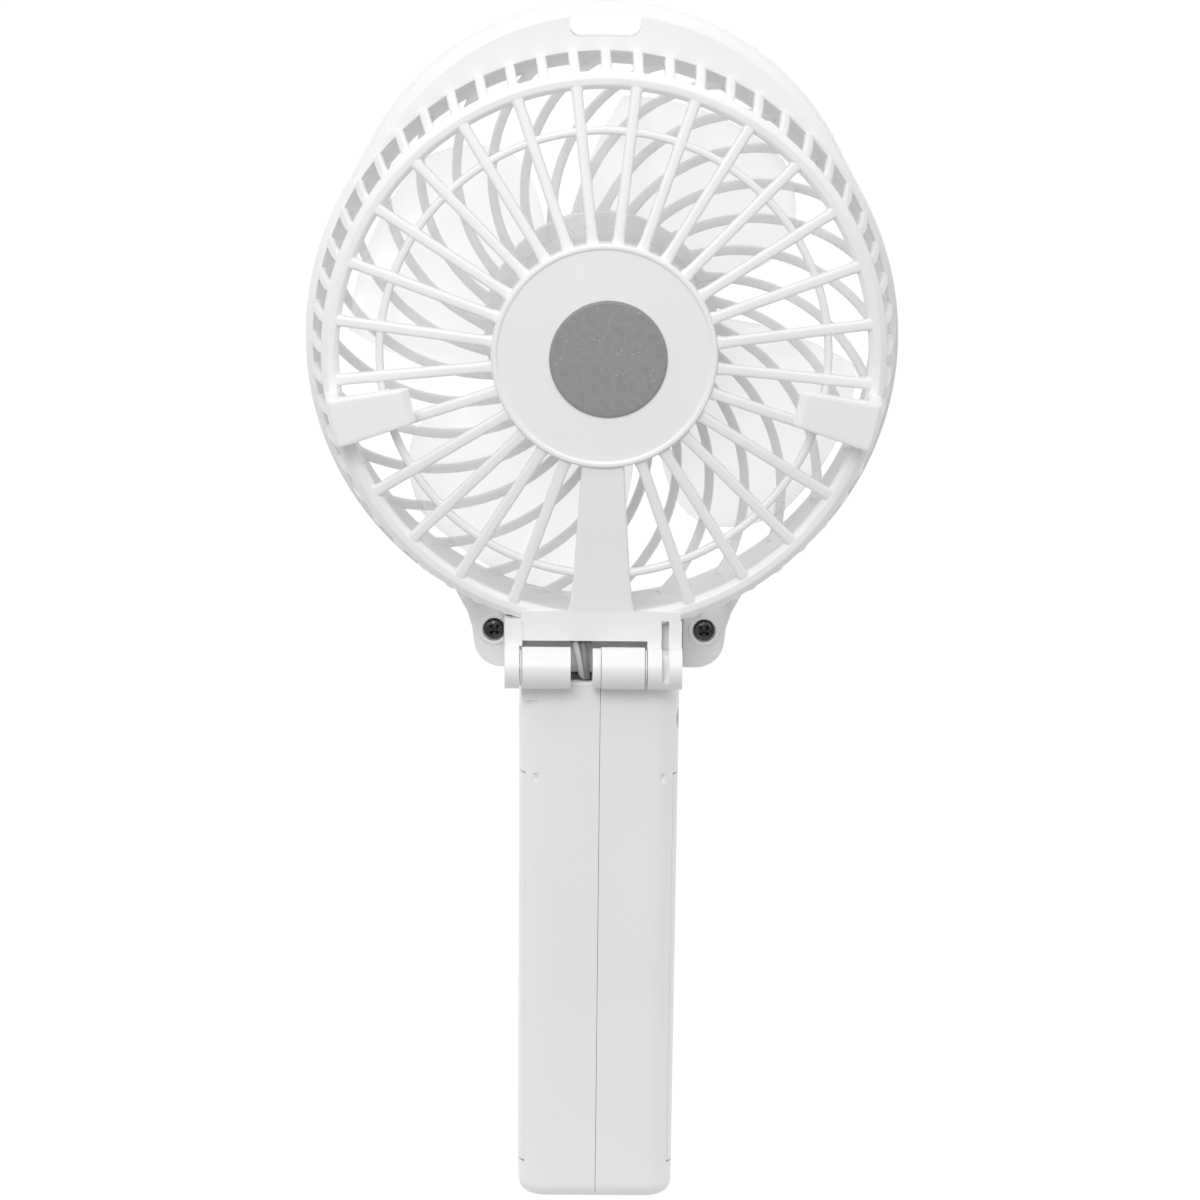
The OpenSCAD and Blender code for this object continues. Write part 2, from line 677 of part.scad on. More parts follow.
// Battery: round cell, its sleeve and its insulator
module cell_can() color("silver") {
    translate([0, 0, cell_z]) cylinder(r = cell_d / 2 - 0.15, h = cell_len);
    translate([0, 0, cell_z + cell_len - eps]) cylinder(r = 3, h = cell_cap_h);
}
module cell_sleeve() color("royalblue") translate([0, 0, cell_z]) difference() {
    cylinder(r = cell_d / 2, h = cell_len);
    translate([0, 0, -1]) cylinder(r = cell_d / 2 - 0.15 + eps, h = cell_len + 2);
}
module cell_insulator() color("white") translate([0, 0, cell_z + cell_len]) difference() {
    cylinder(r = 8, h = 0.3);
    translate([0, 0, -1]) cylinder(r = 3.1, h = 2);
}
module contact_spring() color("silver") {
    turns = 3;
    steps = 16;
    wire([for (i = [0:turns * steps]) let (t = i / (turns * steps), a = 360 * turns * t, r = 5 - 2.2 * t)
        [r * cos(a), r * sin(a), cover_z0 + 0.75 + t * (cell_z - cover_z0 - 1.2)]], 0.3, 6);
}
module contact_plate_negative() color("silver")
    span_box([-6.5, 6.5], [-6.5, 6.5], [cover_z0 + 0.05, cover_z0 + 0.35]);
module contact_plate_positive() color("silver")
    span_box([-5, 5], [-5, 5], [cell_z + cell_len + cell_cap_h + 0.05, bulkhead_z - 0.1]);
module battery_lead() color("#303030")
    wire([[0, 7, cover_z0 + 0.9], [0, 9.6, cover_z0 + 1.6], [0, 9.95, 12], [0, 9.95, 40], [0, 9.95, 70],
        [0, 9.6, 77], [0, 6, 79.5], [0, 0, 79.4], [0, -5.2, 79.2]], 0.4);

// Electronics
module circuit_board() color("darkgreen") difference() {
    span_box([-11, 11], [board_y, board_y + board_t], [78.4, 91]);
    for (s = [-1, 1]) translate([s * 9.6, board_y - 1, 79.6]) rotate([-90, 0, 0]) cylinder(r = 0.7, h = 4);
}
module controller_chip() color("#202020")
    span_box([-5.5, -0.5], [board_y + board_t, board_y + board_t + 1.5], [82, 86]);
module boost_coil() color("dimgray") translate([-8.4, board_y + board_t, 83]) rotate([-90, 0, 0]) {
    cylinder(r = 1.6, h = 1.8);
    for (z = [0, 1.6]) translate([0, 0, z]) cylinder(r = 2.2, h = 0.5);
}
module board_capacitors() color("tan") {
    for (x = [-8.6, -5.6, -2.6])
        span_box([x, x + 1.6], [board_y + board_t, board_y + board_t + 0.8], [88, 88.9]);
    for (x = [4.6, 6.8]) span_box([x, x + 1.2], [board_y - 0.6, board_y], [81, 82.8]);
}
module usb_port() color("silver") difference() {
    span_box([8.4, 13.8], [board_y + 1.05, board_y + 3.75], [port_z - 3.75, port_z + 3.75]);
    span_box([9, 20], [board_y + 1.35, board_y + 3.45], [port_z - 3.45, port_z + 3.45]);
}
module usb_tongue() color("#202020")
    span_box([9, 12.6], [board_y + 2.1, board_y + 2.6], [port_z - 2.4, port_z + 2.4]);
module switch_body() color("#202020") difference() {
    span_box([-2.6, 2.6], [board_y - 1.6, board_y], [button_z - 2.6, button_z + 2.6]);
    translate([0, board_y - 0.3, button_z]) rotate([90, 0, 0]) cylinder(r = 1.3, h = 2);
}
// The plunger and the button move together, backwards into the handle
module switch_plunger() color("white") translate([0, board_y - 1.55 + button_travel, button_z])
    rotate([90, 0, 0]) cylinder(r = 1.2, h = 1.1);
module power_button() color("silver") translate([0, 0, button_z]) rotate([90, 0, 0]) {
    disc(button_d / 2, half_d - handle_wall - 0.4, button_top);
    disc(button_d / 2 + 0.5, half_d - handle_wall - 0.9, half_d - handle_wall - 0.1);
    disc(1.6, 1.55 - board_y - button_travel + 1.1, half_d - handle_wall - 0.5);
}
module indicator_leds() color("lightyellow") {
    for (x = [-1.4, 0.6]) span_box([x, x + 0.8], [board_y - 0.8, board_y], [button_z + 5.4, button_z + 7]);
}
module indicator_lens() color("aliceblue", 0.6) translate([0, 0, button_z + 6.2]) rotate([90, 0, 0]) {
    disc(1.2, 9, half_d + 0.1);
    disc(1.5, 9, half_d - handle_wall - 0.05);
}

rear_shell();
front_housing();
rear_badge();
front_badge();
impeller();
motor_can();
motor_end_cap();
motor_shaft();
motor_bushes();
motor_magnets();
armature_core();
armature_windings();
commutator();
motor_brushes();
motor_terminals();
head_screws();
hinge_pins();
hinge_washers();
motor_leads_head();
motor_leads_handle();
handle_shell_left();
handle_shell_right();
battery_cover();
cell_can();
cell_sleeve();
cell_insulator();
contact_spring();
contact_plate_negative();
contact_plate_positive();
battery_lead();
circuit_board();
controller_chip();
boost_coil();
board_capacitors();
usb_port();
usb_tongue();
switch_body();
switch_plunger();
power_button();
indicator_leds();
indicator_lens();
handle_screws();
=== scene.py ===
import math

import bmesh
import bpy
from mathutils import Matrix, Vector


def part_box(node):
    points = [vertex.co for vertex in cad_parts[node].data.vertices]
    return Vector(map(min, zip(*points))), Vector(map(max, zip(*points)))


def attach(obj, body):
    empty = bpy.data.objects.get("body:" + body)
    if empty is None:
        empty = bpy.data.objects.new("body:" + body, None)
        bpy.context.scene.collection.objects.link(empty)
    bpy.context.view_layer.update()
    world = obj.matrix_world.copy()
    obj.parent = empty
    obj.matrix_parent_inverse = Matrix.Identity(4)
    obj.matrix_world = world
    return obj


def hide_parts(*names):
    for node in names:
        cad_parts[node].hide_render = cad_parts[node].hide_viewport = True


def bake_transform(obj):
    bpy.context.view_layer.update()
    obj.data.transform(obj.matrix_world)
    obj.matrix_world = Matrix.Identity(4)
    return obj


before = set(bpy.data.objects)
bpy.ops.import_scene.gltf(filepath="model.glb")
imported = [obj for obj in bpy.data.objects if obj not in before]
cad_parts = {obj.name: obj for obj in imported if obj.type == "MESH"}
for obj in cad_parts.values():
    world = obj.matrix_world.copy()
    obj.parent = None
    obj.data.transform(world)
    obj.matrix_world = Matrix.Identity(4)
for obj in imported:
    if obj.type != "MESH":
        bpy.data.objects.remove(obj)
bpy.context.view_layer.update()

# Lengths are in millimetres and angles in degrees until a piece is placed in the frame.
MM = 0.001


def box_mm(node):
    lo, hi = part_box(node)
    return lo / MM, hi / MM


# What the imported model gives
shaft_lo, shaft_hi = box_mm("motor_shaft")
front_lo, front_hi = box_mm("front_housing")
rear_hi = box_mm("rear_shell")[1]
shell_lo, shell_hi = box_mm("handle_shell_left")
cover_lo, cover_hi = box_mm("battery_cover")
badge_lo, badge_hi = box_mm("rear_badge")
logo_lo, logo_hi = box_mm("front_badge")
pin_lo, pin_hi = box_mm("hinge_pins")
screw_lo, screw_hi = box_mm("head_screws")
button_lo, button_hi = box_mm("power_button")
lens_lo, lens_hi = box_mm("indicator_lens")

HEAD_Z = (shaft_lo.z + shaft_hi.z) / 2
CAGE_R = (front_hi.x - front_lo.x) / 2
CROWN_TOP = front_hi.z - HEAD_Z
PART_F = -front_hi.y
FRONT_F = -front_lo.y - 0.3
HINGE_Y = (pin_lo.y + pin_hi.y) / 2
HINGE_Z = (pin_lo.z + pin_hi.z) / 2
HINGE_UP = HINGE_Z - HEAD_Z
HINGE_F = -HINGE_Y
HANDLE_TOP = 93.6
HALF_W = shell_hi.x
HALF_D = -shell_lo.y
SIDE_LEAN = math.radians(0.34)
SEAM = shell_lo.x
BUTTON_Z = (button_lo.z + button_hi.z) / 2
LENS_Z = (lens_lo.z + lens_hi.z) / 2

# Hinge barrels, their clearance and the bores for the pins
BARREL_R = 3.7
BARREL_GAP = 0.45
PIN_BORE_R = 1.28
# (y, z) of the screws that join the handle's halves
CASE_SCREWS = ((7.6, 86.4), (6, 3.6))

# Head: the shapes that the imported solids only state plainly
CROWN_R = 46.5
HUB_R = 19.95
HUB_F = -16.5
RING_F = -10.9
MID_RING_R = 39.5
RIB_COUNT = 28
SIDE_RIB_COUNT = 2 * RIB_COUNT
RIB_W = 1.95
FLANGE_T = 1.8
AIR_R = CAGE_R - 1.7
SLOT_UP = 56.0
SLOT_SIZE = (12.6, 4.8)
EAR_SCREW = (18.7, -52.7)

HEAD = (Matrix.Translation((0, 0, HEAD_Z * MM)) @ Matrix.Rotation(math.pi / 2, 4, "X")
        @ Matrix.Scale(MM, 4))
ROW = Matrix.Scale(MM, 4)


# ---------------------------------------------------------------- outlines
def arc(cx, cy, r, start, end, steps):
    """Points of a circle's arc, both ends included."""
    turn = [math.radians(start + (end - start) * i / steps) for i in range(steps + 1)]
    return [(cx + r * math.cos(a), cy + r * math.sin(a)) for a in turn]


def filleted(points, radius, steps=4, closed=True):
    """An outline with each corner rounded; a corner with little room gets a smaller radius."""
    made = []
    count = len(points)
    for i, (x, y) in enumerate(points):
        if not closed and i in (0, count - 1):
            made.append((x, y))
            continue
        p = Vector((x, y))
        before = Vector(points[i - 1]) - p
        after = Vector(points[(i + 1) % count]) - p
        corner = before.angle(after)
        if corner > math.radians(174):
            made.append((x, y))
            continue
        reach = min(radius / math.tan(corner / 2), 0.48 * before.length, 0.48 * after.length)
        r = reach * math.tan(corner / 2)
        a, b = p + before.normalized() * reach, p + after.normalized() * reach
        middle = p + (before.normalized() + after.normalized()).normalized() * (r / math.sin(corner / 2))
        for k in range(steps + 1):
            q = a.lerp(b, k / steps) - middle
            made.append(tuple(middle + q.normalized() * r))
    return made


def inset(points, distance):
    """A closed counter-clockwise outline drawn in by a small distance."""
    made = []
    count = len(points)
    for i in range(count):
        p = Vector(points[i])
        u = (p - Vector(points[i - 1])).normalized()
        v = (Vector(points[(i + 1) % count]) - p).normalized()
        n = Vector((-(u.y + v.y), u.x + v.x))
        n = n.normalized() if n.length > 1e-6 else Vector((-u.y, u.x))
        stretch = max(0.35, n.dot(Vector((-u.y, u.x))))
        made.append(tuple(p + n * (distance / stretch)))
    return made


def squircle(steps=16, power=0.55):
    """A rounded square of half size 1."""
    made = []
    for i in range(steps):
        a = 2 * math.pi * (i + 0.5) / steps
        c, s = math.cos(a), math.sin(a)
        made.append((math.copysign(abs(c) ** power, c), math.copysign(abs(s) ** power, s)))
    return made


def rounded_box_outline(half_w, half_d, r, steps=8):
    x, y = half_w - r, half_d - r
    corners = ((x, y), (-x, y), (-x, -y), (x, -y))
    return [p for i, (cx, cy) in enumerate(corners) for p in arc(cx, cy, r, 90 * i, 90 * i + 90, steps)]


# ---------------------------------------------------------------- shapes: (points, faces)
def loft(rings, closed=False):
    """Joins rings of equally many points into one closed surface."""
    n = len(rings[0])
    count = len(rings)
    points = [tuple(p) for ring in rings for p in ring]
    faces = []
    for i in range(count if closed else count - 1):
        a, b = i * n, ((i + 1) % count) * n
        faces += [(a + k, a + (k + 1) % n, b + (k + 1) % n, b + k) for k in range(n)]
    if not closed:
        faces.append(tuple(reversed(range(n))))
        faces.append(tuple((count - 1) * n + k for k in range(n)))
    return points, faces


def revolve(profile, segments=160, start=0.0, sweep=360.0, ends=None):
    """Turns a closed (radius, forward) outline about the fan's axis; a part turn may round off its ends."""
    whole = sweep >= 360
    turns = [(start + sweep * i / segments, 0.0) for i in range(segments if whole else segments + 1)]
    if ends:
        step = math.degrees(ends / max(r for r, f in profile))
        turns = ([(start, ends), (start + 0.3 * step, 0.3 * ends)]
                 + [(start + step + (sweep - 2 * step) * i / segments, 0.0) for i in range(segments + 1)]
                 + [(start + sweep - 0.3 * step, 0.3 * ends), (start + sweep, ends)])
    rings = []
    for angle, drawn_in in turns:
        c, s = math.cos(math.radians(angle)), math.sin(math.radians(angle))
        outline = inset(profile, drawn_in) if drawn_in else profile
        rings.append([(r * c, r * s, f) for r, f in outline])
    return loft(rings, closed=whole)


def turned(profile, segments=160):
    """A turned solid whose open (radius, forward) profile starts and ends on the axis."""
    inner = profile[1:-1]
    points = [(0, 0, profile[0][1]), (0, 0, profile[-1][1])]
    for i in range(segments):
        a = 2 * math.pi * i / segments
        points += [(r * math.cos(a), r * math.sin(a), f) for r, f in inner]
    n = len(inner)
    faces = []
    for i in range(segments):
        a, b = 2 + i * n, 2 + ((i + 1) % segments) * n
        faces += [(a + k, b + k, b + k + 1, a + k + 1) for k in range(n - 1)]
        faces += [(0, b, a), (1, a + n - 1, b + n - 1)]
    return points, faces


def extrude(outline, z0, z1, edge=0.0, steps=3):
    """A plate from a closed outline, with its two edges rounded."""
    levels = [(edge * (1 - math.sin(math.pi / 2 * k / steps)), edge * (1 - math.cos(math.pi / 2 * k / steps)))
              for k in range(steps + 1)] if edge else [(0, 0)]
    rings = []
    for drawn_in, up in levels:
        rings.append([(x, y, z0 + up) for x, y in inset(outline, drawn_in)])
    for drawn_in, up in reversed(levels):
        rings.append([(x, y, z1 - up) for x, y in inset(outline, drawn_in)])
    return loft(rings)


def bar(path, across, half_w, half_d, section=None):
    """A rounded bar along path; across is its width direction. Across and the sizes may be lists."""
    section = section or squircle()
    rings = []
    for i, p in enumerate(path):
        p = Vector(p)
        along = (Vector(path[min(i + 1, len(path) - 1)]) - Vector(path[max(i - 1, 0)])).normalized()
        side = Vector(across[i] if isinstance(across, list) else across)
        side = (side - along * side.dot(along)).normalized()
        other = along.cross(side)
        w = half_w[i] if isinstance(half_w, list) else half_w
        d = half_d[i] if isinstance(half_d, list) else half_d
        rings.append([p + side * (w * x) + other * (d * y) for x, y in section])
    return loft(rings)


def block(x, y, z):
    corners = [(x[0], y[0]), (x[1], y[0]), (x[1], y[1]), (x[0], y[1])]
    return loft([[(px, py, z[0]) for px, py in corners], [(px, py, z[1]) for px, py in corners]])


def rod(x, centre, r, segments=48):
    """A cylinder along X over the span x; centre is its (second, third) coordinate."""
    circle = arc(centre[0], centre[1], r, 0, 360 - 360 / segments, segments - 1)
    return loft([[(x[0], a, b) for a, b in circle], [(x[1], a, b) for a, b in circle]])


def cylinder(cx, cy, r, z0, z1, segments=48):
    circle = arc(cx, cy, r, 0, 360 - 360 / segments, segments - 1)
    return loft([[(a, b, z) for a, b in circle] for z in (z0, z1)])


def placed(shape, matrix):
    return [tuple(matrix @ Vector(p)) for p in shape[0]], shape[1]


def mirrored(shape):
    return [(-x, y, z) for x, y, z in shape[0]], [tuple(reversed(f)) for f in shape[1]]


def joined(shapes):
    points, faces = [], []
    for p, f in shapes:
        base = len(points)
        points += p
        faces += [tuple(i + base for i in face) for face in f]
    return points, faces


# ---------------------------------------------------------------- mesh operations
def mesh_from(shape, name="shape"):
    mesh = bpy.data.meshes.new(name)
    mesh.from_pydata([tuple(p) for p in shape[0]], [], shape[1])
    edit = bmesh.new()
    edit.from_mesh(mesh)
    bmesh.ops.recalc_face_normals(edit, faces=edit.faces[:])
    edit.to_mesh(mesh)
    edit.free()
    mesh.update()
    return mesh


def scratch(shape):
    made = bpy.data.objects.new("scratch", mesh_from(shape))
    bpy.context.scene.collection.objects.link(made)
    return made


def baked(obj, *helpers):
    """The object's shape with its modifiers applied; it and its helpers are removed."""
    shown = obj.evaluated_get(bpy.context.evaluated_depsgraph_get())
    mesh = bpy.data.meshes.new_from_object(shown)
    shape = ([tuple(v.co) for v in mesh.vertices], [tuple(p.vertices) for p in mesh.polygons])
    for o in (obj,) + helpers:
        bpy.data.objects.remove(o)
    bpy.data.meshes.remove(mesh)
    return shape


def combined(base, others, operation="DIFFERENCE"):
    """Cuts the other shapes from the base, or adds them to it, one after another."""
    obj = scratch(base)
    helpers = []
    for other in others:
        helper = scratch(other)
        step = obj.modifiers.new("cut", "BOOLEAN")
        step.object = helper
        step.operation = operation
        step.solver = "EXACT"
        helpers.append(helper)
    return baked(obj, *helpers)


def eased(shape, width, segments=2, angle=32):
    """The shape with its sharp edges rounded."""
    obj = scratch(shape)
    weld = obj.modifiers.new("weld", "WELD")
    weld.merge_threshold = 0.004
    step = obj.modifiers.new("ease", "BEVEL")
    step.width = width
    step.segments = segments
    step.limit_method = "ANGLE"
    step.angle_limit = math.radians(angle)
    step.use_clamp_overlap = True
    step.miter_outer = "MITER_ARC"
    return baked(obj)


def piece(name, shape, place, material, body, stands_for=(), smooth=38):
    """A finished piece of the object: placed, shaded, painted and riding on its body."""
    mesh = mesh_from(shape, name)
    mesh.transform(place)
    mesh.shade_smooth()
    mesh.set_sharp_from_angle(angle=math.radians(smooth))
    mesh.materials.append(material)
    obj = bpy.data.objects.new(name, mesh)
    bpy.context.scene.collection.objects.link(obj)
    normals = obj.modifiers.new("normals", "WEIGHTED_NORMAL")
    normals.keep_sharp = True
    normals.weight = 90
    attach(obj, body)
    if stands_for:
        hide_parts(*stands_for)
    return obj


# ---------------------------------------------------------------- materials
class Nodes:
    """A material's node tree with short calls for what these materials use."""

    def __init__(self, name):
        self.material = bpy.data.materials.new(name)
        self.material.use_nodes = True
        self.tree = self.material.node_tree
        self.shader = self.tree.nodes["Principled BSDF"]
        self.place = self.tree.nodes.new("ShaderNodeTexCoord").outputs["Object"]

    def new(self, kind, **values):
        node = self.tree.nodes.new(kind)
        for key, value in values.items():
            setattr(node, key, value)
        return node

    def link(self, a, b):
        self.tree.links.new(a, b)

    def scaled(self, factors):
        node = self.new("ShaderNodeMapping")
        node.inputs["Scale"].default_value = factors
        self.link(self.place, node.inputs["Vector"])
        return node.outputs["Vector"]

    def noise(self, scale, detail=3.0, roughness=0.55, vector=None):
        node = self.new("ShaderNodeTexNoise")
        node.inputs["Scale"].default_value = scale
        node.inputs["Detail"].default_value = detail
        node.inputs["Roughness"].default_value = roughness
        self.link(vector or self.place, node.inputs["Vector"])
        return node.outputs["Fac"]

    def ramp(self, value, stops):
        node = self.new("ShaderNodeValToRGB")
        ends = node.color_ramp.elements
        while len(ends) < len(stops):
            ends.new(0.5)
        for end, (at, colour) in zip(ends, stops):
            end.position = at
            end.color = tuple(colour) + (1,) if len(colour) == 3 else colour
        self.link(value, node.inputs["Fac"])
        return node.outputs["Color"]

    def spread(self, value, low, high):
        node = self.new("ShaderNodeMapRange")
        node.inputs["To Min"].default_value = low
        node.inputs["To Max"].default_value = high
        self.link(value, node.inputs["Value"])
        return node.outputs["Result"]

    def bump(self, value, strength, distance):
        node = self.new("ShaderNodeBump")
        node.inputs["Strength"].default_value = strength
        node.inputs["Distance"].default_value = distance
        self.link(value, node.inputs["Height"])
        self.link(node.outputs["Normal"], self.shader.inputs["Normal"])

    def tint(self, value, dark, light):
        self.link(self.ramp(value, [(0.25, dark), (0.75, light)]), self.shader.inputs["Base Color"])

    def rough(self, value, low, high):
        self.link(self.spread(value, low, high), self.shader.inputs["Roughness"])

    def set(self, **values):
        for key, value in values.items():
            self.shader.inputs[key.replace("_", " ")].default_value = value


def shade(colour, factor):
    return tuple(min(1.0, c * factor) for c in colour)


def plastic(name, colour, rough=0.35, grain=0.00002):
    """Moulded plastic: faint flow marks in the colour, a fine surface grain and an uneven gloss."""
    m = Nodes(name)
    flow = m.noise(35, 2)
    fine = m.noise(2600, 2)
    m.tint(flow, shade(colour, 0.975), shade(colour, 1.015))
    m.rough(m.noise(160, 3), rough - 0.05, rough + 0.07)
    m.bump(fine, 0.25, grain)
    m.set(IOR=1.5)
    return m.material


def metal(name, colour, rough=0.3, stretch=(1, 1, 1), depth=0.00001):
    """Metal with drawn or turned lines: noise stretched along the working direction."""
    m = Nodes(name)
    lines = m.noise(900, 4, vector=m.scaled(stretch))
    m.tint(lines, shade(colour, 0.82), shade(colour, 1.08))
    m.rough(lines, rough - 0.08, rough + 0.12)
    m.bump(lines, 0.3, depth)
    m.set(Metallic=1.0)
    return m.material


def spun_metal(name, colour):
    """A turned face: fine rings about the fan's axis."""
    m = Nodes(name)
    centred = m.new("ShaderNodeMapping")
    centred.inputs["Location"].default_value = (0, 0, -HEAD_Z * MM)
    m.link(m.place, centred.inputs["Vector"])
    flat = m.new("ShaderNodeVectorMath", operation="MULTIPLY")
    flat.inputs[1].default_value = (1, 0, 1)
    m.link(centred.outputs["Vector"], flat.inputs[0])
    radius = m.new("ShaderNodeVectorMath", operation="LENGTH")
    m.link(flat.outputs["Vector"], radius.inputs[0])
    rings = m.new("ShaderNodeTexNoise", noise_dimensions="1D")
    rings.inputs["Scale"].default_value = 6000
    rings.inputs["Detail"].default_value = 3
    m.link(radius.outputs["Value"], rings.inputs["W"])
    m.tint(rings.outputs["Fac"], shade(colour, 0.86), shade(colour, 1.06))
    m.rough(rings.outputs["Fac"], 0.22, 0.38)
    m.bump(rings.outputs["Fac"], 0.25, 0.00001)
    m.set(Metallic=1.0)
    return m.material


def speckled_label(name, colour):
    """Grey sparkle film: a mottled ground with fine light flakes."""
    m = Nodes(name)
    mottle = m.noise(900, 5, 0.7)
    flakes = m.new("ShaderNodeTexVoronoi")
    flakes.inputs["Scale"].default_value = 1500
    m.link(m.place, flakes.inputs["Vector"])
    spots = m.ramp(flakes.outputs["Distance"], [(0.1, (1, 1, 1)), (0.2, (0, 0, 0))])
    sparse = m.ramp(m.noise(420, 1), [(0.56, (0, 0, 0)), (0.62, (1, 1, 1))])
    ground = m.ramp(mottle, [(0.3, shade(colour, 0.9)), (0.7, shade(colour, 1.1))])
    both = m.new("ShaderNodeMix", data_type="RGBA", blend_type="MULTIPLY")
    both.inputs["Factor"].default_value = 1.0
    m.link(spots, both.inputs["A"])
    m.link(sparse, both.inputs["B"])
    mixed = m.new("ShaderNodeMix", data_type="RGBA")
    m.link(both.outputs["Result"], mixed.inputs["Factor"])
    m.link(ground, mixed.inputs["A"])
    mixed.inputs["B"].default_value = (0.62, 0.62, 0.62, 1)
    m.link(mixed.outputs["Result"], m.shader.inputs["Base Color"])
    m.rough(mottle, 0.45, 0.62)
    m.bump(mottle, 0.2, 0.00002)
    return m.material


def milky(name, colour, haze=0.16):
    """Clear plastic with a little haze: most light passes straight on, and slanted faces look denser, partly
    from the longer path through the haze and partly as a painted edge reflection.
    """
    m = Nodes(name)
    cloud = m.noise(60, 3)
    m.tint(cloud, shade(colour, 0.97), shade(colour, 1.02))
    m.rough(m.noise(300, 2), 0.1, 0.2)
    m.bump(m.noise(900, 2), 0.15, 0.00002)
    # partly painted reflection: faces seen slantwise turn more opaque, so their whitish base colour stands in
    # for the edge reflection as well as the thicker haze
    slant = m.new("ShaderNodeLayerWeight")
    slant.inputs["Blend"].default_value = 0.35
    m.link(m.spread(slant.outputs["Facing"], haze, haze + 0.45), m.shader.inputs["Alpha"])
    m.set(IOR=1.46)
    return m.material


def enamelled_copper(name):
    """Wound wire: rounded turns side by side around each tooth; the colour is painted shade in the grooves
    between turns and a painted highlight on their crowns.
    """
    m = Nodes(name)
    turns = m.new("ShaderNodeTexWave", wave_type="BANDS", bands_direction="Z")
    turns.inputs["Scale"].default_value = 900
    turns.inputs["Distortion"].default_value = 0.6
    m.link(m.place, turns.inputs["Vector"])
    # painted shade and highlight: each turn runs from dark in its groove to light on its crown
    m.tint(turns.outputs["Fac"], (0.16, 0.045, 0.015), (0.62, 0.24, 0.09))
    m.rough(turns.outputs["Fac"], 0.5, 0.22)
    m.bump(turns.outputs["Fac"], 0.8, 0.0001)
    m.set(Metallic=0.85)
    return m.material


def laminated_steel(name):
    """Stacked sheets: fine dark lines across the stack."""
    m = Nodes(name)
    sheets = m.new("ShaderNodeTexWave", wave_type="BANDS", bands_direction="Y")
    sheets.inputs["Scale"].default_value = 320
    sheets.inputs["Distortion"].default_value = 0.2
    m.link(m.place, sheets.inputs["Vector"])
    m.tint(sheets.outputs["Fac"], (0.07, 0.07, 0.08), (0.32, 0.32, 0.34))
    m.rough(sheets.outputs["Fac"], 0.55, 0.32)
    m.bump(sheets.outputs["Fac"], 0.5, 0.00005)
    m.set(Metallic=0.9)
    return m.material


def board_film(name):
    """Solder mask over traces: raised lighter paths on a grid."""
    m = Nodes(name)
    cells = m.new("ShaderNodeTexBrick")
    cells.inputs["Scale"].default_value = 420
    cells.inputs["Mortar Size"].default_value = 0.035
    cells.inputs["Color1"].default_value = (0.012, 0.13, 0.05, 1)
    cells.inputs["Color2"].default_value = (0.016, 0.16, 0.06, 1)
    cells.inputs["Mortar"].default_value = (0.05, 0.3, 0.12, 1)
    turn = m.new("ShaderNodeMapping")
    turn.inputs["Rotation"].default_value = (math.pi / 2, 0, 0)
    m.link(m.place, turn.inputs["Vector"])
    m.link(turn.outputs["Vector"], cells.inputs["Vector"])
    m.link(cells.outputs["Color"], m.shader.inputs["Base Color"])
    m.rough(m.noise(500, 2), 0.25, 0.4)
    m.bump(cells.outputs["Fac"], 0.3, 0.00003)
    return m.material


WHITE = (0.92, 0.92, 0.92)
shell_white = plastic("shell_white", WHITE, 0.36)
handle_white = plastic("handle_white", WHITE, 0.3)
cover_white = plastic("cover_white", shade(WHITE, 0.99), 0.31)
blade_clear = milky("blade_clear", (0.93, 0.935, 0.94))
label_grey = speckled_label("label_grey", (0.295, 0.295, 0.295))
badge_silver = spun_metal("badge_silver", (0.78, 0.79, 0.80))
screw_black = metal("screw_black", (0.11, 0.11, 0.115), 0.14)
lead_light = plastic("lead_light", (0.52, 0.52, 0.51), 0.5)
lead_dark = plastic("lead_dark", (0.22, 0.22, 0.22), 0.5)
button_plated = spun_metal("button_plated", (0.72, 0.73, 0.74))
lens_clear = milky("lens_clear", (0.9, 0.93, 0.95), 0.3)
steel = metal("zinc_steel", (0.62, 0.62, 0.63), 0.28, (1, 6, 1))
ground_steel = metal("ground_steel", (0.7, 0.7, 0.71), 0.18, (1, 12, 1))
nickel = metal("nickel", (0.78, 0.76, 0.72), 0.2, (4, 1, 1))
bronze = metal("sintered_bronze", (0.62, 0.42, 0.24), 0.42)
CAD_LOOKS = {
    steel: ["motor_can"],
    ground_steel: ["motor_shaft", "hinge_pins"],
    plastic("end_cap_nylon", (0.72, 0.70, 0.65), 0.5): ["motor_end_cap", "switch_plunger"],
    plastic("washer_nylon", (0.84, 0.84, 0.83), 0.45): ["hinge_washers"],
    bronze: ["motor_bushes"],
    metal("ferrite", (0.13, 0.13, 0.14), 0.55): ["motor_magnets", "boost_coil"],
    laminated_steel("laminated_steel"): ["armature_core"],
    enamelled_copper("enamelled_copper"): ["armature_windings"],
    metal("copper_segments", (0.75, 0.4, 0.22), 0.25): ["commutator"],
    metal("brush_metal", (0.55, 0.5, 0.38), 0.3): ["motor_brushes", "motor_terminals"],
    metal("cell_steel", (0.7, 0.7, 0.71), 0.25, (1, 1, 5)): ["cell_can"],
    plastic("shrink_sleeve", (0.06, 0.18, 0.42), 0.28, 0.00006): ["cell_sleeve"],
    plastic("fibre_ring", (0.75, 0.74, 0.70), 0.7, 0.00008): ["cell_insulator"],
    nickel: ["contact_spring", "contact_plate_negative", "contact_plate_positive", "usb_port"],
    plastic("lead_black", (0.05, 0.05, 0.05), 0.45): ["battery_lead"],
    board_film("board_film"): ["circuit_board"],
    plastic("black_epoxy", (0.03, 0.03, 0.03), 0.45, 0.00005):
        ["controller_chip", "usb_tongue", "switch_body"],
    plastic("ceramic_tan", (0.45, 0.32, 0.2), 0.4): ["board_capacitors"],
    plastic("led_package", (0.8, 0.78, 0.5), 0.25): ["indicator_leds"],
}
for look, names in CAD_LOOKS.items():
    for node_name in names:
        node_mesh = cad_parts[node_name].data
        node_mesh.materials.clear()
        node_mesh.materials.append(look)


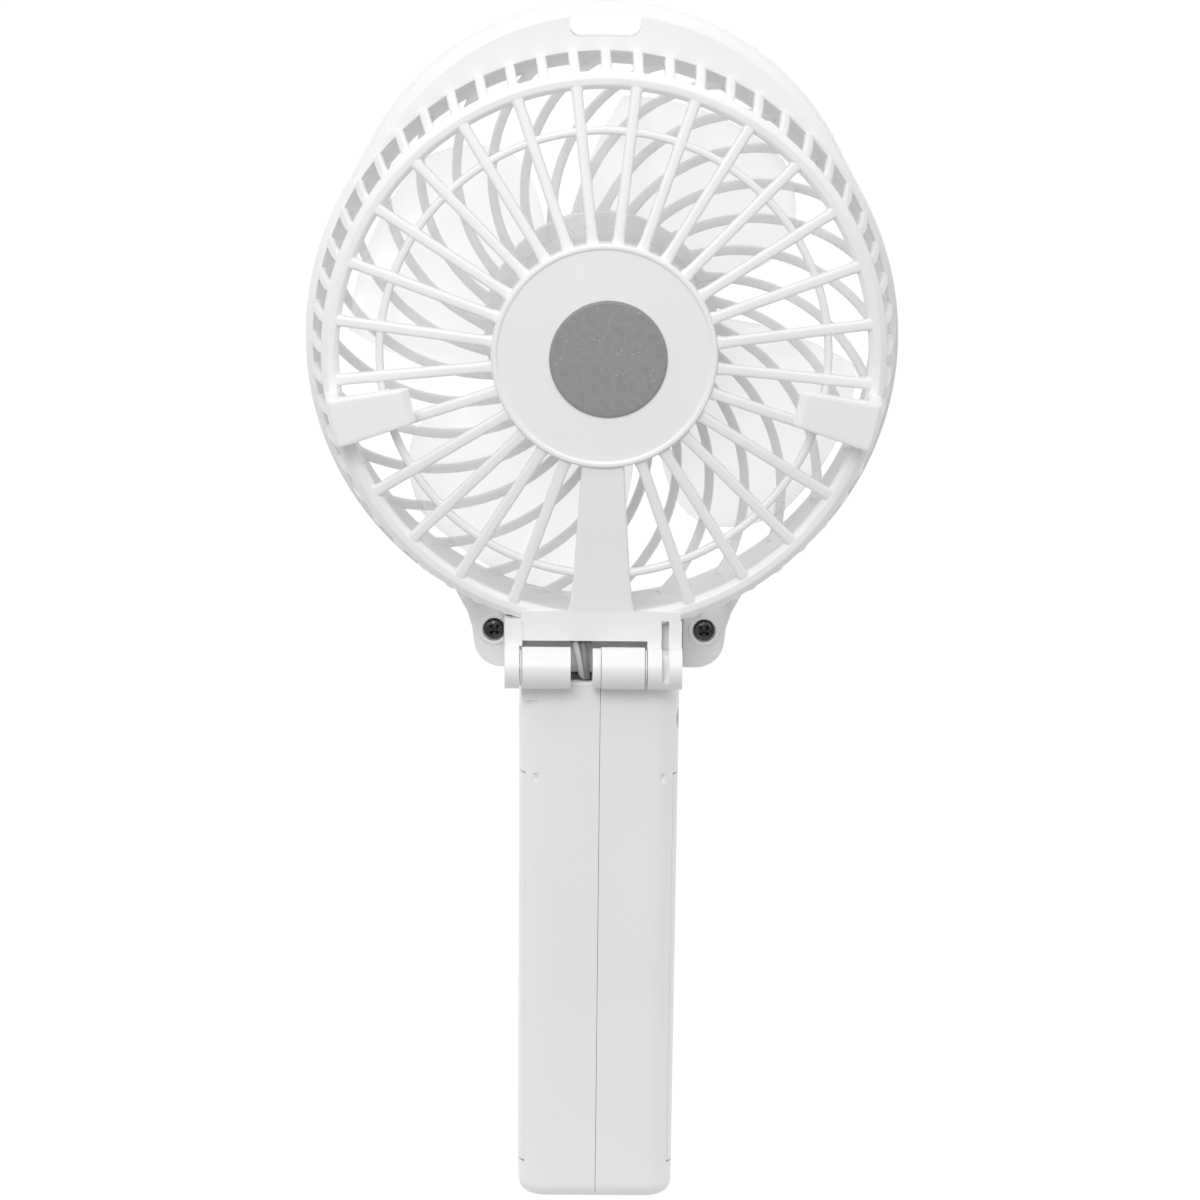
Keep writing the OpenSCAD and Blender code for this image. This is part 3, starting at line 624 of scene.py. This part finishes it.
# ---------------------------------------------------------------- head outlines
def teardrop(drawn_in=0.0):
    """Outline of the head: the round cage below and the crown's arc above."""
    centre = CROWN_TOP - CROWN_R
    lean = math.degrees(math.asin((CAGE_R - CROWN_R) / centre))
    return (arc(0, 0, CAGE_R - drawn_in, 180 - lean, 360 + lean, 120)
            + arc(0, centre, CROWN_R - drawn_in, lean, 180 - lean, 60)[1:-1])


def ear_outline():
    """The right-hand ear, from the cage's rim down to its round corner."""
    corner = arc(17.3, -54.5, 5, 270, 352, 10)
    return [(14.9, -44), (14.9, -59.5)] + corner + [(22.6, -52.4), (23.5, -49.6), (25.9, -45.2), (24.5, -43)]


def slot_outline(extra=0.0):
    half_w, half_h = SLOT_SIZE[0] / 2 + extra, SLOT_SIZE[1] / 2 + extra
    return [(x, y + SLOT_UP) for x, y in rounded_box_outline(half_w, half_h, 1.9 + extra)]


# ---------------------------------------------------------------- rear shell
def rib_f(r):
    """Forward place of a radial rib's centre line: the rear grille is a shallow dish."""
    return HUB_F + 1.85 + 0.121 * (r - HUB_R)


def polar(angle, r, f):
    a = math.radians(angle)
    return (r * math.cos(a), r * math.sin(a), f)


def swell(r, at, height, reach):
    return height * math.exp(-((r - at) / reach) ** 2)


def radial_rib(angle):
    radii = [17.6, 19.6, 20.3, 21, 22.2, 26, 32, 37.4, 38.6, 39.5, 40.4, 41.6, 45, 45.9, 46.5, 47.1, 47.9]
    swells = ((19.8, 0.25, 0.9), (MID_RING_R, 0.12, 0.8), (46.9, 0.2, 0.5))
    widths = [RIB_W / 2 + sum(swell(r, *spot) for spot in swells) for r in radii]
    path = [polar(angle, r, rib_f(r)) for r in radii]
    return bar(path, polar(angle + 90, 1, 0), widths, 0.95)


def side_rib(angle):
    """From the rear ring out and forward to the flange, with a round shoulder."""
    track = [(48.3, -10.6), (49.1, -10.3), (49.6, -9.4), (49.9, -8), (50.2, -6), (50.6, -2),
             (50.9, 2), (51.0, 4.6), (50.9, 5.9)]
    path = [polar(angle, r, f) for r, f in track]
    widths = [1.1, 1.0, 0.95, 0.93, 0.92, 0.92, 0.92, 0.9, 0.75]
    return bar(path, polar(angle + 90, 1, 0), widths, 0.66, squircle(16, 0.7))


def rear_rings():
    rim = filleted([(46.6, -9.6), (46.65, -11.5), (47.5, -12.3), (48.8, -12.3), (49.85, -11.3), (49.7, -9.6),
                    (48.2, -9.2)], 0.7, 5)
    thin = [(MID_RING_R + 0.72 * x, rib_f(MID_RING_R) + 0.05 + 0.8 * y) for x, y in squircle(16, 0.75)]
    return joined([revolve(rim, 200), revolve(thin, 160)])


def rear_hub():
    """Plate with a raised bead at its edge, and the sleeve that holds the motor."""
    face = HUB_F + 0.3
    can_r = 12.22
    profile = filleted([
        (0, face), (HUB_R - 1.15, face), (HUB_R - 0.85, HUB_F), (HUB_R - 0.25, HUB_F), (HUB_R, HUB_F + 0.5),
        (HUB_R, -12.7), (HUB_R - 1.5, -12.7), (HUB_R - 1.5, face + 1.5), (can_r + 1.5, face + 1.5),
        (can_r + 1.5, -3.4), (can_r, -3.4), (can_r, -13.72), (can_r - 1.2, -13.72), (can_r - 1.2, face + 1.5),
        (0, face + 1.5)], 0.28, 3, closed=False)
    return turned(profile)


def wide_spoke():
    """The broad spoke that hides the motor leads."""
    rows = [(-17.2, 3.5, HUB_F + 0.75, 2.4), (-20.2, 3.75, HUB_F + 0.95, 2.4), (-30, 4.35, -14.6, 2.4),
            (-40, 5.0, -13.3, 2.4), (-44.6, 5.5, -12.7, 2.3), (-47.6, 6.4, -12.35, 2.2)]
    rings = []
    for up, half_w, back, depth in rows:
        front = back + depth
        outline = filleted([(-half_w, back), (half_w, back), (half_w, front), (-half_w, front)], 0.45, 4)
        rings.append([(x, up, f) for x, f in outline])
    return loft(rings)


def rear_flange():
    """Plate between the head's halves: a sloping outer edge, the lanyard slot and two ears for the screws."""
    back, front = PART_F - FLANGE_T, PART_F - 0.02
    rows = [(2.3, back), (1.95, back + 0.08), (1.6, back + 0.3), (0.8, back + 0.95), (0.45, back + 1.3),
            (0.4, front)]
    plate = loft([[(x, y, f) for x, y in teardrop(drawn_in)] for drawn_in, f in rows])
    ear = extrude(ear_outline(), back, front, 0.35)
    holes = [cylinder(0, 0, CAGE_R - 1.35, -2, PART_F + 2, 200), extrude(slot_outline(), -2, PART_F + 2)]
    plate = eased(combined(plate, holes), 0.3, 2, 55)
    air = cylinder(0, 0, AIR_R, -2, PART_F + 2, 160)
    ears = []
    for side, solid in ((1, ear), (-1, mirrored(ear))):
        sunk = cylinder(side * EAR_SCREW[0], EAR_SCREW[1], 2.05, 0, PART_F - 1.1)
        through = cylinder(side * EAR_SCREW[0], EAR_SCREW[1], 1.1, 0, PART_F + 2)
        ears.append(eased(combined(solid, [air, sunk, through]), 0.12, 2, 50))
    return joined([plate] + ears)


def screw_wells():
    """Raised collars round the sunk screws, seen as dark rings from behind."""
    back = PART_F - FLANGE_T
    collar = [(2.05, back - 0.5), (2.75, back - 0.5), (2.95, back + 0.4), (2.05, back + 0.4)]
    profile = filleted(collar, 0.15, 2)
    return [placed(revolve(profile, 48), Matrix.Translation((side * EAR_SCREW[0], EAR_SCREW[1], 0)))
            for side in (-1, 1)]


def hinge_block():
    """Block under the cage with the cheeks that hold the hinge pins."""
    up, f = HINGE_UP, HINGE_F
    body = block((-14, 14), (-51.5, -46.2), (-12.5, -6))
    parts = [
        block((-14, 14), (-58.1, -46.5), (-7, PART_F - 0.02)),
        block((13.9, 17), (-57, -47.7), (-12.85, PART_F - 0.02)),
        block((14.45, 17), (up, -47.7), (-12.85, -8)),
        block((-14.3, -8.2), (up, -48), (-12.5, -7)),
        rod((14.45, 17), (up, f), BARREL_R, 64), rod((-14.3, -8.2), (up, f), BARREL_R, 64)]
    body = combined(body, parts, "UNION")
    cuts = [
        cylinder(0, 0, 46.6, -9, PART_F + 2, 160),
        block((-12.4, 12.4), (-56.5, -49.5), (-5.4, PART_F + 2)),
        block((-12, -10.7), (up + 2.6, -47.9), (-22, -9.5)),
        block((-12, -10.7), (up - 2.1, up + 2.7), (-22, f - 1.5)),
        block((1.5, 5.5), (-53, -45), (-10.2, -5)),
        rod((-8.2, 14.45), (up, f), BARREL_R + BARREL_GAP),
        block((-8.2, 14.45), (-64, up + 1), (-22, f + 7.4)),
        rod((-13.4, -8), (up, f), PIN_BORE_R), rod((14, 16.2), (up, f), PIN_BORE_R)]
    return eased(combined(body, cuts), 0.28, 3, 40)


def hooks():
    """Two L-shaped tongues that stand off the rear ring."""
    back = -rear_hi.y
    profile = filleted([
        (34.6, back + 1.5), (36.1, back + 0.1), (48.9, back), (49.6, back + 0.7), (49.6, RING_F + 0.2),
        (47.1, RING_F + 0.2), (47.1, back + 2.6), (35.4, back + 2.5)], 0.5, 4)
    tongue = revolve(profile, 14, -19, 10.3, ends=0.45)
    return [tongue, mirrored(tongue)]


def build_rear_shell():
    ribs = [radial_rib(90 + 360 / RIB_COUNT * (i + 0.5)) for i in range(RIB_COUNT)
            if i not in (RIB_COUNT // 2 - 1, RIB_COUNT // 2)]
    sides = [side_rib(90 + 360 / SIDE_RIB_COUNT * i) for i in range(SIDE_RIB_COUNT)
             if abs(i - SIDE_RIB_COUNT // 2) > 2]
    parts = ribs + sides + hooks() + screw_wells()
    parts += [rear_rings(), rear_hub(), wide_spoke(), rear_flange(), hinge_block()]
    piece("rear_casing", joined(parts), HEAD, shell_white, "head", ["rear_shell"])


def build_rear_badge():
    """Thin domed disc on the hub."""
    r = (badge_hi.x - badge_lo.x) / 2
    centre = (badge_lo + badge_hi) / 2
    back, front = -badge_hi.y, -badge_lo.y
    profile = filleted([(0, back), (r - 0.5, back + 0.01), (r, back + 0.12), (r, front), (0, front)], 0.08, 3,
                       closed=False)
    disc = placed(turned(profile, 128), Matrix.Translation((centre.x, centre.z - HEAD_Z, 0)))
    piece("badge_disc", disc, HEAD, label_grey, "head", ["rear_badge"])


# ---------------------------------------------------------------- front housing
def front_skin_f(r):
    """Forward place of the front grille's outer skin."""
    if r < 30:
        return FRONT_F
    return FRONT_F - 0.0043 * (r - 30) ** 2 - 0.0000125 * (r - 30) ** 4.2


def spiral_rib(turn):
    """One curved rib, from the centre cap out to the bowl."""
    r_arc = 29.7
    start = 22
    cx = HUB_R + 0.3 - r_arc * math.sin(math.radians(start))
    cy = r_arc * math.cos(math.radians(start))
    path, across = [], []
    spin = math.radians(turn)
    for i in range(60):
        angle = start - 90 + 1.75 * i
        x = cx + r_arc * math.cos(math.radians(angle))
        y = cy + r_arc * math.sin(math.radians(angle))
        r = math.hypot(x, y)
        if r > CAGE_R - 3.4:
            break
        path.append((x * math.cos(spin) - y * math.sin(spin), x * math.sin(spin) + y * math.cos(spin),
                     front_skin_f(r) - 0.85))
        out = math.radians(angle + turn)
        across.append((math.cos(out), math.sin(out), 0))
    last = len(path) - 1
    widths = [0.85 + 0.3 * math.exp(-i / 2) + 0.35 * math.exp((i - last) / 2) for i in range(last + 1)]
    return bar(path, across, widths, 0.82)


def bowl():
    rim = PART_F
    profile = filleted([
        (CAGE_R, rim), (CAGE_R, rim + 2.6), (CAGE_R - 0.8, rim + 5.6), (CAGE_R - 2.7, rim + 8.1),
        (CAGE_R - 4.6, rim + 8.6), (CAGE_R - 4.9, rim + 7.2), (CAGE_R - 2.6, rim + 4.9),
        (CAGE_R - 1.7, rim + 2.2), (CAGE_R - 1.7, rim)], 1.0, 5)
    return revolve(profile, 200)


def centre_cap():
    """Front cap: a shallow pocket for the badge inside a rounded rim."""
    r_badge = (logo_hi.x - logo_lo.x) / 2
    face = FRONT_F + 0.3
    profile = filleted([
        (0, FRONT_F - 0.3), (r_badge + 0.1, FRONT_F - 0.3), (r_badge + 0.1, face), (HUB_R + 0.2, face - 0.1),
        (HUB_R + 0.9, face - 0.8), (HUB_R + 0.9, FRONT_F - 1.9), (0, FRONT_F - 1.9)], 0.3, 4, closed=False)
    return turned(profile)


def front_plate():
    """Crown plate, thick ears and the skirt over the hinge block."""
    rows = [(0.25, PART_F), (0.0, PART_F + 0.25), (0.0, PART_F + 1.1), (0.3, PART_F + 1.65),
            (0.9, PART_F + 2)]
    plate = loft([[(x, y, f) for x, y in teardrop(drawn_in)] for drawn_in, f in rows])
    holes = [cylinder(0, 0, AIR_R, -2, PART_F + 4, 200), extrude(slot_outline(), 0, PART_F + 4)]
    parts = [eased(combined(plate, holes), 0.3, 2, 55)]
    skirt = extrude(filleted([(-14.95, -58.1), (14.95, -58.1), (14.95, -46), (-14.95, -46)], 0.4, 3),
                    PART_F, PART_F + 2, 0.3)
    parts.append(eased(combined(skirt, [cylinder(0, 0, AIR_R, -2, PART_F + 4, 160)]), 0.12, 2, 60))
    ear = extrude(ear_outline(), PART_F, PART_F + 5.5, 0.5)
    for solid in (ear, mirrored(ear)):
        parts.append(combined(solid, [cylinder(0, 0, AIR_R, -2, PART_F + 9, 160)]))
    return joined(parts)


def build_front_housing():
    spirals = [spiral_rib(360 / RIB_COUNT * i) for i in range(RIB_COUNT)]
    piece("front_casing", joined(spirals + [bowl(), centre_cap(), front_plate()]), HEAD, shell_white, "head",
          ["front_housing"])
    r = (logo_hi.x - logo_lo.x) / 2
    back, front = -logo_hi.y, -logo_lo.y
    profile = filleted([(0, back), (r, back), (r, front - 0.12), (r - 0.4, front), (r - 1.6, front),
                        (r - 1.8, front - 0.08), (0, front - 0.08)], 0.1, 3, closed=False)
    piece("cap_disc", turned(profile, 128), HEAD, badge_silver, "head", ["front_badge"])


# ---------------------------------------------------------------- impeller
BLADE_COUNT = 4
CUP_R = 19.4
BLADE_R = 45.0


def blade_point(u, v, off):
    """A helical petal: u runs from the cup to the tip and v from the rear edge to the front edge."""
    r = CUP_R - 0.7 + (BLADE_R - CUP_R + 0.7) * u
    lead = 22 * u ** 0.85
    trail = 78 + 24 * u * (1 - u) - 15 * u ** 5
    a = math.radians(lead + (trail - lead) * v)
    return (r * math.cos(a), r * math.sin(a), -7 + 13.4 * v + off)


def blade(turn):
    """One blade as a closed skin that thins towards its free edges."""
    nu, nv = 22, 30
    spin = Matrix.Rotation(math.radians(turn), 3, "Z")

    def thickness(u, v):
        edge = min(v, 1 - v, (1 - u) * 1.2)
        return 0.55 * math.sqrt(min(1.0, 0.12 + edge / 0.09))

    top, bottom = [], []
    for i in range(nu + 1):
        for j in range(nv + 1):
            u, v = i / nu, j / nv
            t = thickness(u, v)
            top.append(spin @ Vector(blade_point(u, v, t)))
            bottom.append(spin @ Vector(blade_point(u, v, -t)))
    row, layer = nv + 1, (nu + 1) * (nv + 1)
    faces = []
    for i in range(nu):
        for j in range(nv):
            a, b, c, d = i * row + j, (i + 1) * row + j, (i + 1) * row + j + 1, i * row + j + 1
            faces += [(a, b, c, d), (d + layer, c + layer, b + layer, a + layer)]
    rim = ([i * row for i in range(nu + 1)] + [nu * row + j for j in range(1, nv + 1)]
           + [i * row + nv for i in range(nu - 1, -1, -1)] + [j for j in range(nv - 1, 0, -1)])
    for k, a in enumerate(rim):
        b = rim[(k + 1) % len(rim)]
        faces.append((a, a + layer, b + layer, b))
    return [tuple(p) for p in top + bottom], faces


def build_impeller():
    cup_front, cup_back = 8.0, -9.2
    wall = 1.4
    profile = filleted([
        (1.0, cup_front - 0.6), (1.0, 0.6), (3.0, 0.6), (3.0, cup_front - wall),
        (CUP_R - wall, cup_front - wall), (CUP_R - wall, cup_back), (CUP_R, cup_back), (CUP_R, cup_front),
        (1.6, cup_front)], 0.5, 4)
    cup = revolve(profile, 128)
    blades = [blade(71.9 + 360 / BLADE_COUNT * k) for k in range(BLADE_COUNT)]
    piece("fan_wheel", joined(blades + [cup]), HEAD, blade_clear, "rotor", ["impeller"], 60)


# ---------------------------------------------------------------- screws, wires
def cross_head(r, height):
    """A pan head with a sunk cross, its top at z 0 and its underside at z height."""
    crown = [(0, 0), (r * 0.62, 0.04), (r * 0.9, 0.28), (r, 0.62), (r, height), (0, height)]
    head = turned(filleted(crown, 0.12, 3, closed=False), 40)
    reach, half_w = 0.68 * r, 0.3
    slot = [(-reach, -half_w), (reach, -half_w), (reach, half_w), (-reach, half_w)]
    arm = loft([[(x * s, y * s, z) for x, y in slot] for z, s in ((-0.5, 1.15), (0.85, 0.5))])
    arms = [placed(arm, Matrix.Rotation(math.radians(a), 4, "Z")) for a in (45, 135)]
    return eased(combined(head, arms), 0.09, 2, 50)


def build_screws():
    top, tip = -screw_hi.y, -screw_lo.y
    shank = cylinder(0, 0, 0.9, 0.8, tip - top, 24)
    screw = joined([cross_head(1.8, 1.1), shank])
    both = [placed(screw, Matrix.Translation((side * EAR_SCREW[0], EAR_SCREW[1], top))) for side in (-1, 1)]
    piece("casing_screws", joined(both), HEAD, screw_black, "head", ["head_screws"])


def tube(points, r, sides=12):
    """A round wire on a smooth curve through the points."""
    curve = []
    for i in range(len(points) - 1):
        p = [Vector(points[max(0, min(len(points) - 1, i + k))]) for k in (-1, 0, 1, 2)]
        for s in range(6):
            t = s / 6
            curve.append(0.5 * (2 * p[1] + (p[2] - p[0]) * t + (2 * p[0] - 5 * p[1] + 4 * p[2] - p[3]) * t * t
                                + (3 * p[1] - p[0] - 3 * p[2] + p[3]) * t ** 3))
    curve.append(Vector(points[-1]))
    circle = arc(0, 0, 1, 0, 360 - 360 / sides, sides - 1)
    return bar(curve, (1, 0, 0), r, r, circle)


def build_leads():
    """Two motor leads that pass between the hinge's knuckles into the handle and bend there."""
    # (up, forward) in the head, then (y, z) through the gap and down in the handle
    head_route = [(-8, -14.2), (-12.8, -14.2), (-15, -13.5), (-20, -12.2), (-30, -11.1), (-40, -9.8),
                  (-46, -9), (-49.6, -9.2), (-52, -10.8)]
    gap_route = [(12.4, 98.4), (13.2, 96.6), (12.9, 95.2), (11.6, 94.5), (10.2, 93.9)]
    handle_route = [(9, 92.6), (7.4, 91.2), (4, 90.4), (-1, 90), (-4.6, 89.2)]
    leads = (("lead_one", 4.4, 2.6, 7, lead_light), ("lead_two", 3.1, 2.2, -7, lead_dark))
    for name, x, end_x, start_x, look in leads:
        route = [(start_x, 14.2, HEAD_Z - 1.7)]
        route += [(x - 1.7 if up > -41 else x, -f, HEAD_Z + up) for up, f in head_route]
        route += [(x + (end_x - x) * (k + 1) / len(gap_route), y, z) for k, (y, z) in enumerate(gap_route)]
        route += [(end_x + 0.3 * k, y, z) for k, (y, z) in enumerate(handle_route)]
        mesh = mesh_from(tube(route, 0.6), name)
        mesh.transform(ROW)
        mesh.shade_smooth()
        mesh.materials.append(look)
        obj = bpy.data.objects.new(name, mesh)
        bpy.context.scene.collection.objects.link(obj)
        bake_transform(obj)
        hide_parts("motor_leads_head", "motor_leads_handle")


# ---------------------------------------------------------------- handle
COVER_Z = (cover_lo.z, cover_hi.z)
COVER_Y = cover_hi.y
WALL = 1.8


def handle_ring(z, drawn_in):
    """The handle's section at a height: a round-cornered box that narrows towards the base."""
    half_w = HALF_W - (HANDLE_TOP - z) * math.tan(SIDE_LEAN)
    outline = rounded_box_outline(half_w - drawn_in, HALF_D - drawn_in, 5 - min(drawn_in, 4), 10)
    return [(x, y, z) for x, y in outline]


def handle_outer():
    """The whole handle: a rounded foot, plain sides and a softly rounded top."""
    foot, brim = 2.6, 0.7
    foot_turns = [math.pi / 2 * k / 7 for k in range(8)]
    brim_turns = [math.pi / 2 * k / 4 for k in range(1, 5)]
    rings = [handle_ring(foot * (1 - math.cos(a)), foot * (1 - math.sin(a))) for a in foot_turns]
    rings += [handle_ring(z, 0) for z in (20, 45, 70, HANDLE_TOP - brim)]
    rings += [handle_ring(HANDLE_TOP - brim + brim * math.sin(a), brim * (1 - math.cos(a)))
              for a in brim_turns]
    return loft(rings)


def handle_inner(z0, z1, wall=WALL):
    return loft([handle_ring(z, wall) for z in (z0, z1)])


def knuckle(x, r):
    """A hinge barrel over the span x and the block that carries it."""
    return [rod(x, (HINGE_Y, HINGE_Z), r, 64),
            block(x, (HINGE_Y - 4.6, HALF_D - 0.3), (HANDLE_TOP - 3.5, HINGE_Z - 0.6))]


def half_shell(side):
    """One half of the handle: outer skin, hollow, battery window, notch, and knuckles on top."""
    far = 40
    outside = block((-far, side * SEAM) if side > 0 else (side * SEAM, far), (-far, far), (-5, 120))
    window = block((-far, far), (-far, COVER_Y + 0.2), (COVER_Z[0] - 0.25, COVER_Z[1] + 0.25))
    relief = rod((-HALF_W - 1, HALF_W + 1), (HINGE_Y, HINGE_Z), BARREL_R + BARREL_GAP, 64)
    at_notch = Matrix.Translation((11.2, HALF_D - 1.1, COVER_Z[1] - 1.2))
    notch = placed(block((0, 3.2), (0, 4), (0, 1.5)), at_notch @ Matrix.Rotation(math.radians(32), 4, "Z"))
    notch = notch if side > 0 else mirrored(notch)
    lie = Matrix.Rotation(math.pi / 2, 4, "X")
    opening = [placed(cylinder(0, 0, r, 0, 6, 64), Matrix.Translation((0, -HALF_D + 3, z)) @ lie)
               for r, z in ((4.1, BUTTON_Z), (1.2, LENS_Z))]
    cuts = [outside, handle_inner(COVER_Z[1] + 0.8, HANDLE_TOP - WALL), handle_inner(6.3, 75.5),
            handle_inner(2, 4.7), window, relief, notch] + opening
    if side > 0:
        lead_hole = block((1.5, 5.4), (4, HALF_D - WALL), (HANDLE_TOP - 4.2, HINGE_Z + 1))
        port_window = block((10, 16), (-5.9, -2.9), (80.1, 87.9))
        cuts += [lead_hole, port_window]
    else:
        cuts += [rod((-20, -11.85), p, 2.0) for p in CASE_SCREWS]
    shell = eased(combined(handle_outer(), cuts), 0.16, 2, 42)
    spans = [(5.4, 13.95, BARREL_R), (SEAM, 1.5, BARREL_R - 0.2)] if side > 0 else [(-7.7, -SEAM, BARREL_R)]
    barrels = []
    for x0, x1, r in spans:
        parts = knuckle((x0, x1), r)
        solid = combined(parts[0], parts[1:], "UNION")
        bore = rod((x0 - 1, x1 + 1), (HINGE_Y, HINGE_Z), 1.26)
        barrels.append(eased(combined(solid, [bore]) if x0 != SEAM else solid, 0.2, 3, 40))
    return joined([shell] + barrels + inner_ribs(side))


def inner_ribs(side):
    """Cradle for the cell, bulkhead, shelf and screw bosses inside one half."""
    far = 40
    keep_out = [cylinder(0, 0, 9.3, -1, 90)]
    cradle = [block((10.5, 11.7), (-2, HALF_D - WALL + 0.1), (6.3, 75.6))]
    cradle += [block((SEAM + 0.05, 10.6), (4, HALF_D - WALL + 0.1), (z, z + 1.6)) for z in (18, 40, 62)]
    made = [eased(combined(part, keep_out), 0.12, 2, 50) for part in cradle]
    bosses = [rod((SEAM + 0.05, 12.4), p, 2.4) for p in CASE_SCREWS]
    made += [eased(combined(boss, [rod((-1, 9), p, 0.85)]), 0.12, 2, 50)
             for boss, p in zip(bosses, CASE_SCREWS)]
    return made if side > 0 else [mirrored(part) for part in made]


def battery_door():
    """Cover of the battery: the front and both sides of the handle, with its lips."""
    window = block((-40, 40), (COVER_Y, 40), (-5, 120))
    below = block((-40, 40), (-40, 40), (-5, COVER_Z[0]))
    above = block((-40, 40), (-40, 40), (COVER_Z[1], 120))
    skin = combined(handle_outer(), [window, below, above, handle_inner(-1, 90, 1.6)])
    lip = block((-5, 5), (-HALF_D + 1.5, -HALF_D + 2.2), (COVER_Z[0] + 4, COVER_Z[1] - 4))
    grips = [block((-6, 6), (-HALF_D - 0.12, -HALF_D + 0.3), (z, z + 0.7)) for z in (64, 66.4, 68.8, 71.2)]
    return joined([eased(skin, 0.16, 2, 42), eased(lip, 0.15), joined([eased(g, 0.1) for g in grips])])


def build_handle():
    for side, name in ((1, "left"), (-1, "right")):
        piece("half_" + name, half_shell(side), ROW, handle_white, "handle", ["handle_shell_" + name])
    piece("battery_door", battery_door(), ROW, cover_white, "cover", ["battery_cover"])


def build_controls():
    """Button with a dished face and its light guide, on the front of the handle."""
    r = 4.0
    face, foot = -button_lo.y, HALF_D - WALL - 0.9
    profile = filleted([
        (0, face - 0.35), (r - 1.1, face - 0.1), (r - 0.5, face), (r, face - 0.35), (r, foot + 0.8),
        (r + 0.5, foot + 0.8), (r + 0.5, foot), (0, foot)], 0.2, 3, closed=False)
    turn = Matrix.Rotation(math.pi / 2, 4, "X") @ Matrix.Scale(MM, 4)
    at_button = Matrix.Translation((0, 0, BUTTON_Z * MM)) @ turn
    stem = cylinder(0, 0, 1.6, 8.95, foot + 0.1, 32)
    piece("button_cap", joined([turned(profile, 96), stem]), at_button, button_plated, "button",
          ["power_button"])
    top = -lens_lo.y
    guide = filleted([
        (0, top), (0.8, top - 0.06), (1.2, top - 0.4), (1.2, 10.7), (1.5, 10.7), (1.5, 9), (0, 9)], 0.15, 3,
        closed=False)
    at_lens = Matrix.Translation((0, 0, LENS_Z * MM)) @ turn
    piece("light_guide", turned(guide, 48), at_lens, lens_clear, "handle", ["indicator_lens"])


def build_handle_screws():
    length = 19
    screw = joined([cross_head(1.7, 1.5), cylinder(0, 0, 0.85, 1.2, length + 1.4, 24)])
    lay = Matrix.Rotation(math.pi / 2, 4, "Y")
    both = [placed(screw, Matrix.Translation((-13.4, y, z)) @ lay) for y, z in CASE_SCREWS]
    piece("case_screws", joined(both), ROW, screw_black, "handle", ["handle_screws"])


# ---------------------------------------------------------------- stage
def build_stage():
    """Pale floor, white surroundings, soft lights and the camera."""
    scene = bpy.context.scene
    scene.view_settings.view_transform = "Standard"
    world = bpy.data.worlds.new("studio")
    world.use_nodes = True
    tree = world.node_tree
    tree.nodes["Background"].inputs["Color"].default_value = (1, 1, 1, 1)
    direction = tree.nodes.new("ShaderNodeTexCoord")
    split = tree.nodes.new("ShaderNodeSeparateXYZ")
    rise = tree.nodes.new("ShaderNodeMapRange")
    rise.inputs["To Min"].default_value = 0.46
    rise.inputs["To Max"].default_value = 1.2
    tree.links.new(direction.outputs["Generated"], split.inputs["Vector"])
    tree.links.new(split.outputs["Z"], rise.inputs["Value"])
    tree.links.new(rise.outputs["Result"], tree.nodes["Background"].inputs["Strength"])
    scene.world = world

    floor_mesh = bpy.data.meshes.new("floor")
    reach, level = 40.0, -0.025
    floor_mesh.from_pydata([(x, y, level) for x, y in ((-reach, -reach), (reach, -reach), (reach, reach),
                                                       (-reach, reach))], [], [(0, 1, 2, 3)])
    look = Nodes("floor_white")
    look.tint(look.noise(3, 2), (0.155, 0.155, 0.155), (0.165, 0.165, 0.165))
    look.set(Roughness=0.9)
    look.shader.inputs["Specular IOR Level"].default_value = 0.0
    look.shader.inputs["Emission Color"].default_value = (1, 1, 1, 1)
    along = look.new("ShaderNodeSeparateXYZ")
    look.link(look.place, along.inputs["Vector"])
    fall = look.new("ShaderNodeMapRange")
    for socket, value in (("From Min", -0.04), ("From Max", 0.1), ("To Min", 0.88), ("To Max", 0.15)):
        fall.inputs[socket].default_value = value
    look.link(along.outputs["Y"], fall.inputs["Value"])
    look.link(fall.outputs["Result"], look.shader.inputs["Emission Strength"])
    floor_mesh.materials.append(look.material)
    floor = bpy.data.objects.new("floor", floor_mesh)
    scene.collection.objects.link(floor)

    def lamp(name, place, size, power):
        data = bpy.data.lights.new(name, "AREA")
        data.shape = "DISK"
        data.size = size
        data.energy = power
        obj = bpy.data.objects.new(name, data)
        obj.location = place
        obj.rotation_mode = "QUATERNION"
        obj.rotation_quaternion = (Vector(place) - Vector((0, 0, 0.12))).to_track_quat("Z", "Y")
        scene.collection.objects.link(obj)

    lamp("key", (0.35, 1.9, 0.8), 0.9, 0.7)
    lamp("top", (0.1, 0.45, 0.36), 0.22, 0.87)

    camera = bpy.data.objects.new("camera", bpy.data.cameras.new("camera"))
    scene.collection.objects.link(camera)
    scene.camera = camera
    azimuth, elevation, roll = math.radians(178.87), math.radians(10.27), math.radians(0.62)
    distance = 2.088
    aim = Vector((0, 0, 0.106))
    back = Vector((math.sin(azimuth) * math.cos(elevation), -math.cos(azimuth) * math.cos(elevation),
                   math.sin(elevation)))
    camera.location = aim + back * distance
    camera.rotation_mode = "QUATERNION"
    upright = (-back).to_track_quat("-Z", "Y")
    camera.rotation_quaternion = upright @ Matrix.Rotation(roll, 4, "Z").to_quaternion()
    camera.data.lens = 352.8
    camera.data.sensor_width = 36
    camera.data.clip_start = 0.01
    camera.data.clip_end = 100


build_stage()
build_rear_shell()
build_rear_badge()
build_front_housing()
build_impeller()
build_screws()
build_leads()
build_handle()
build_controls()
build_handle_screws()
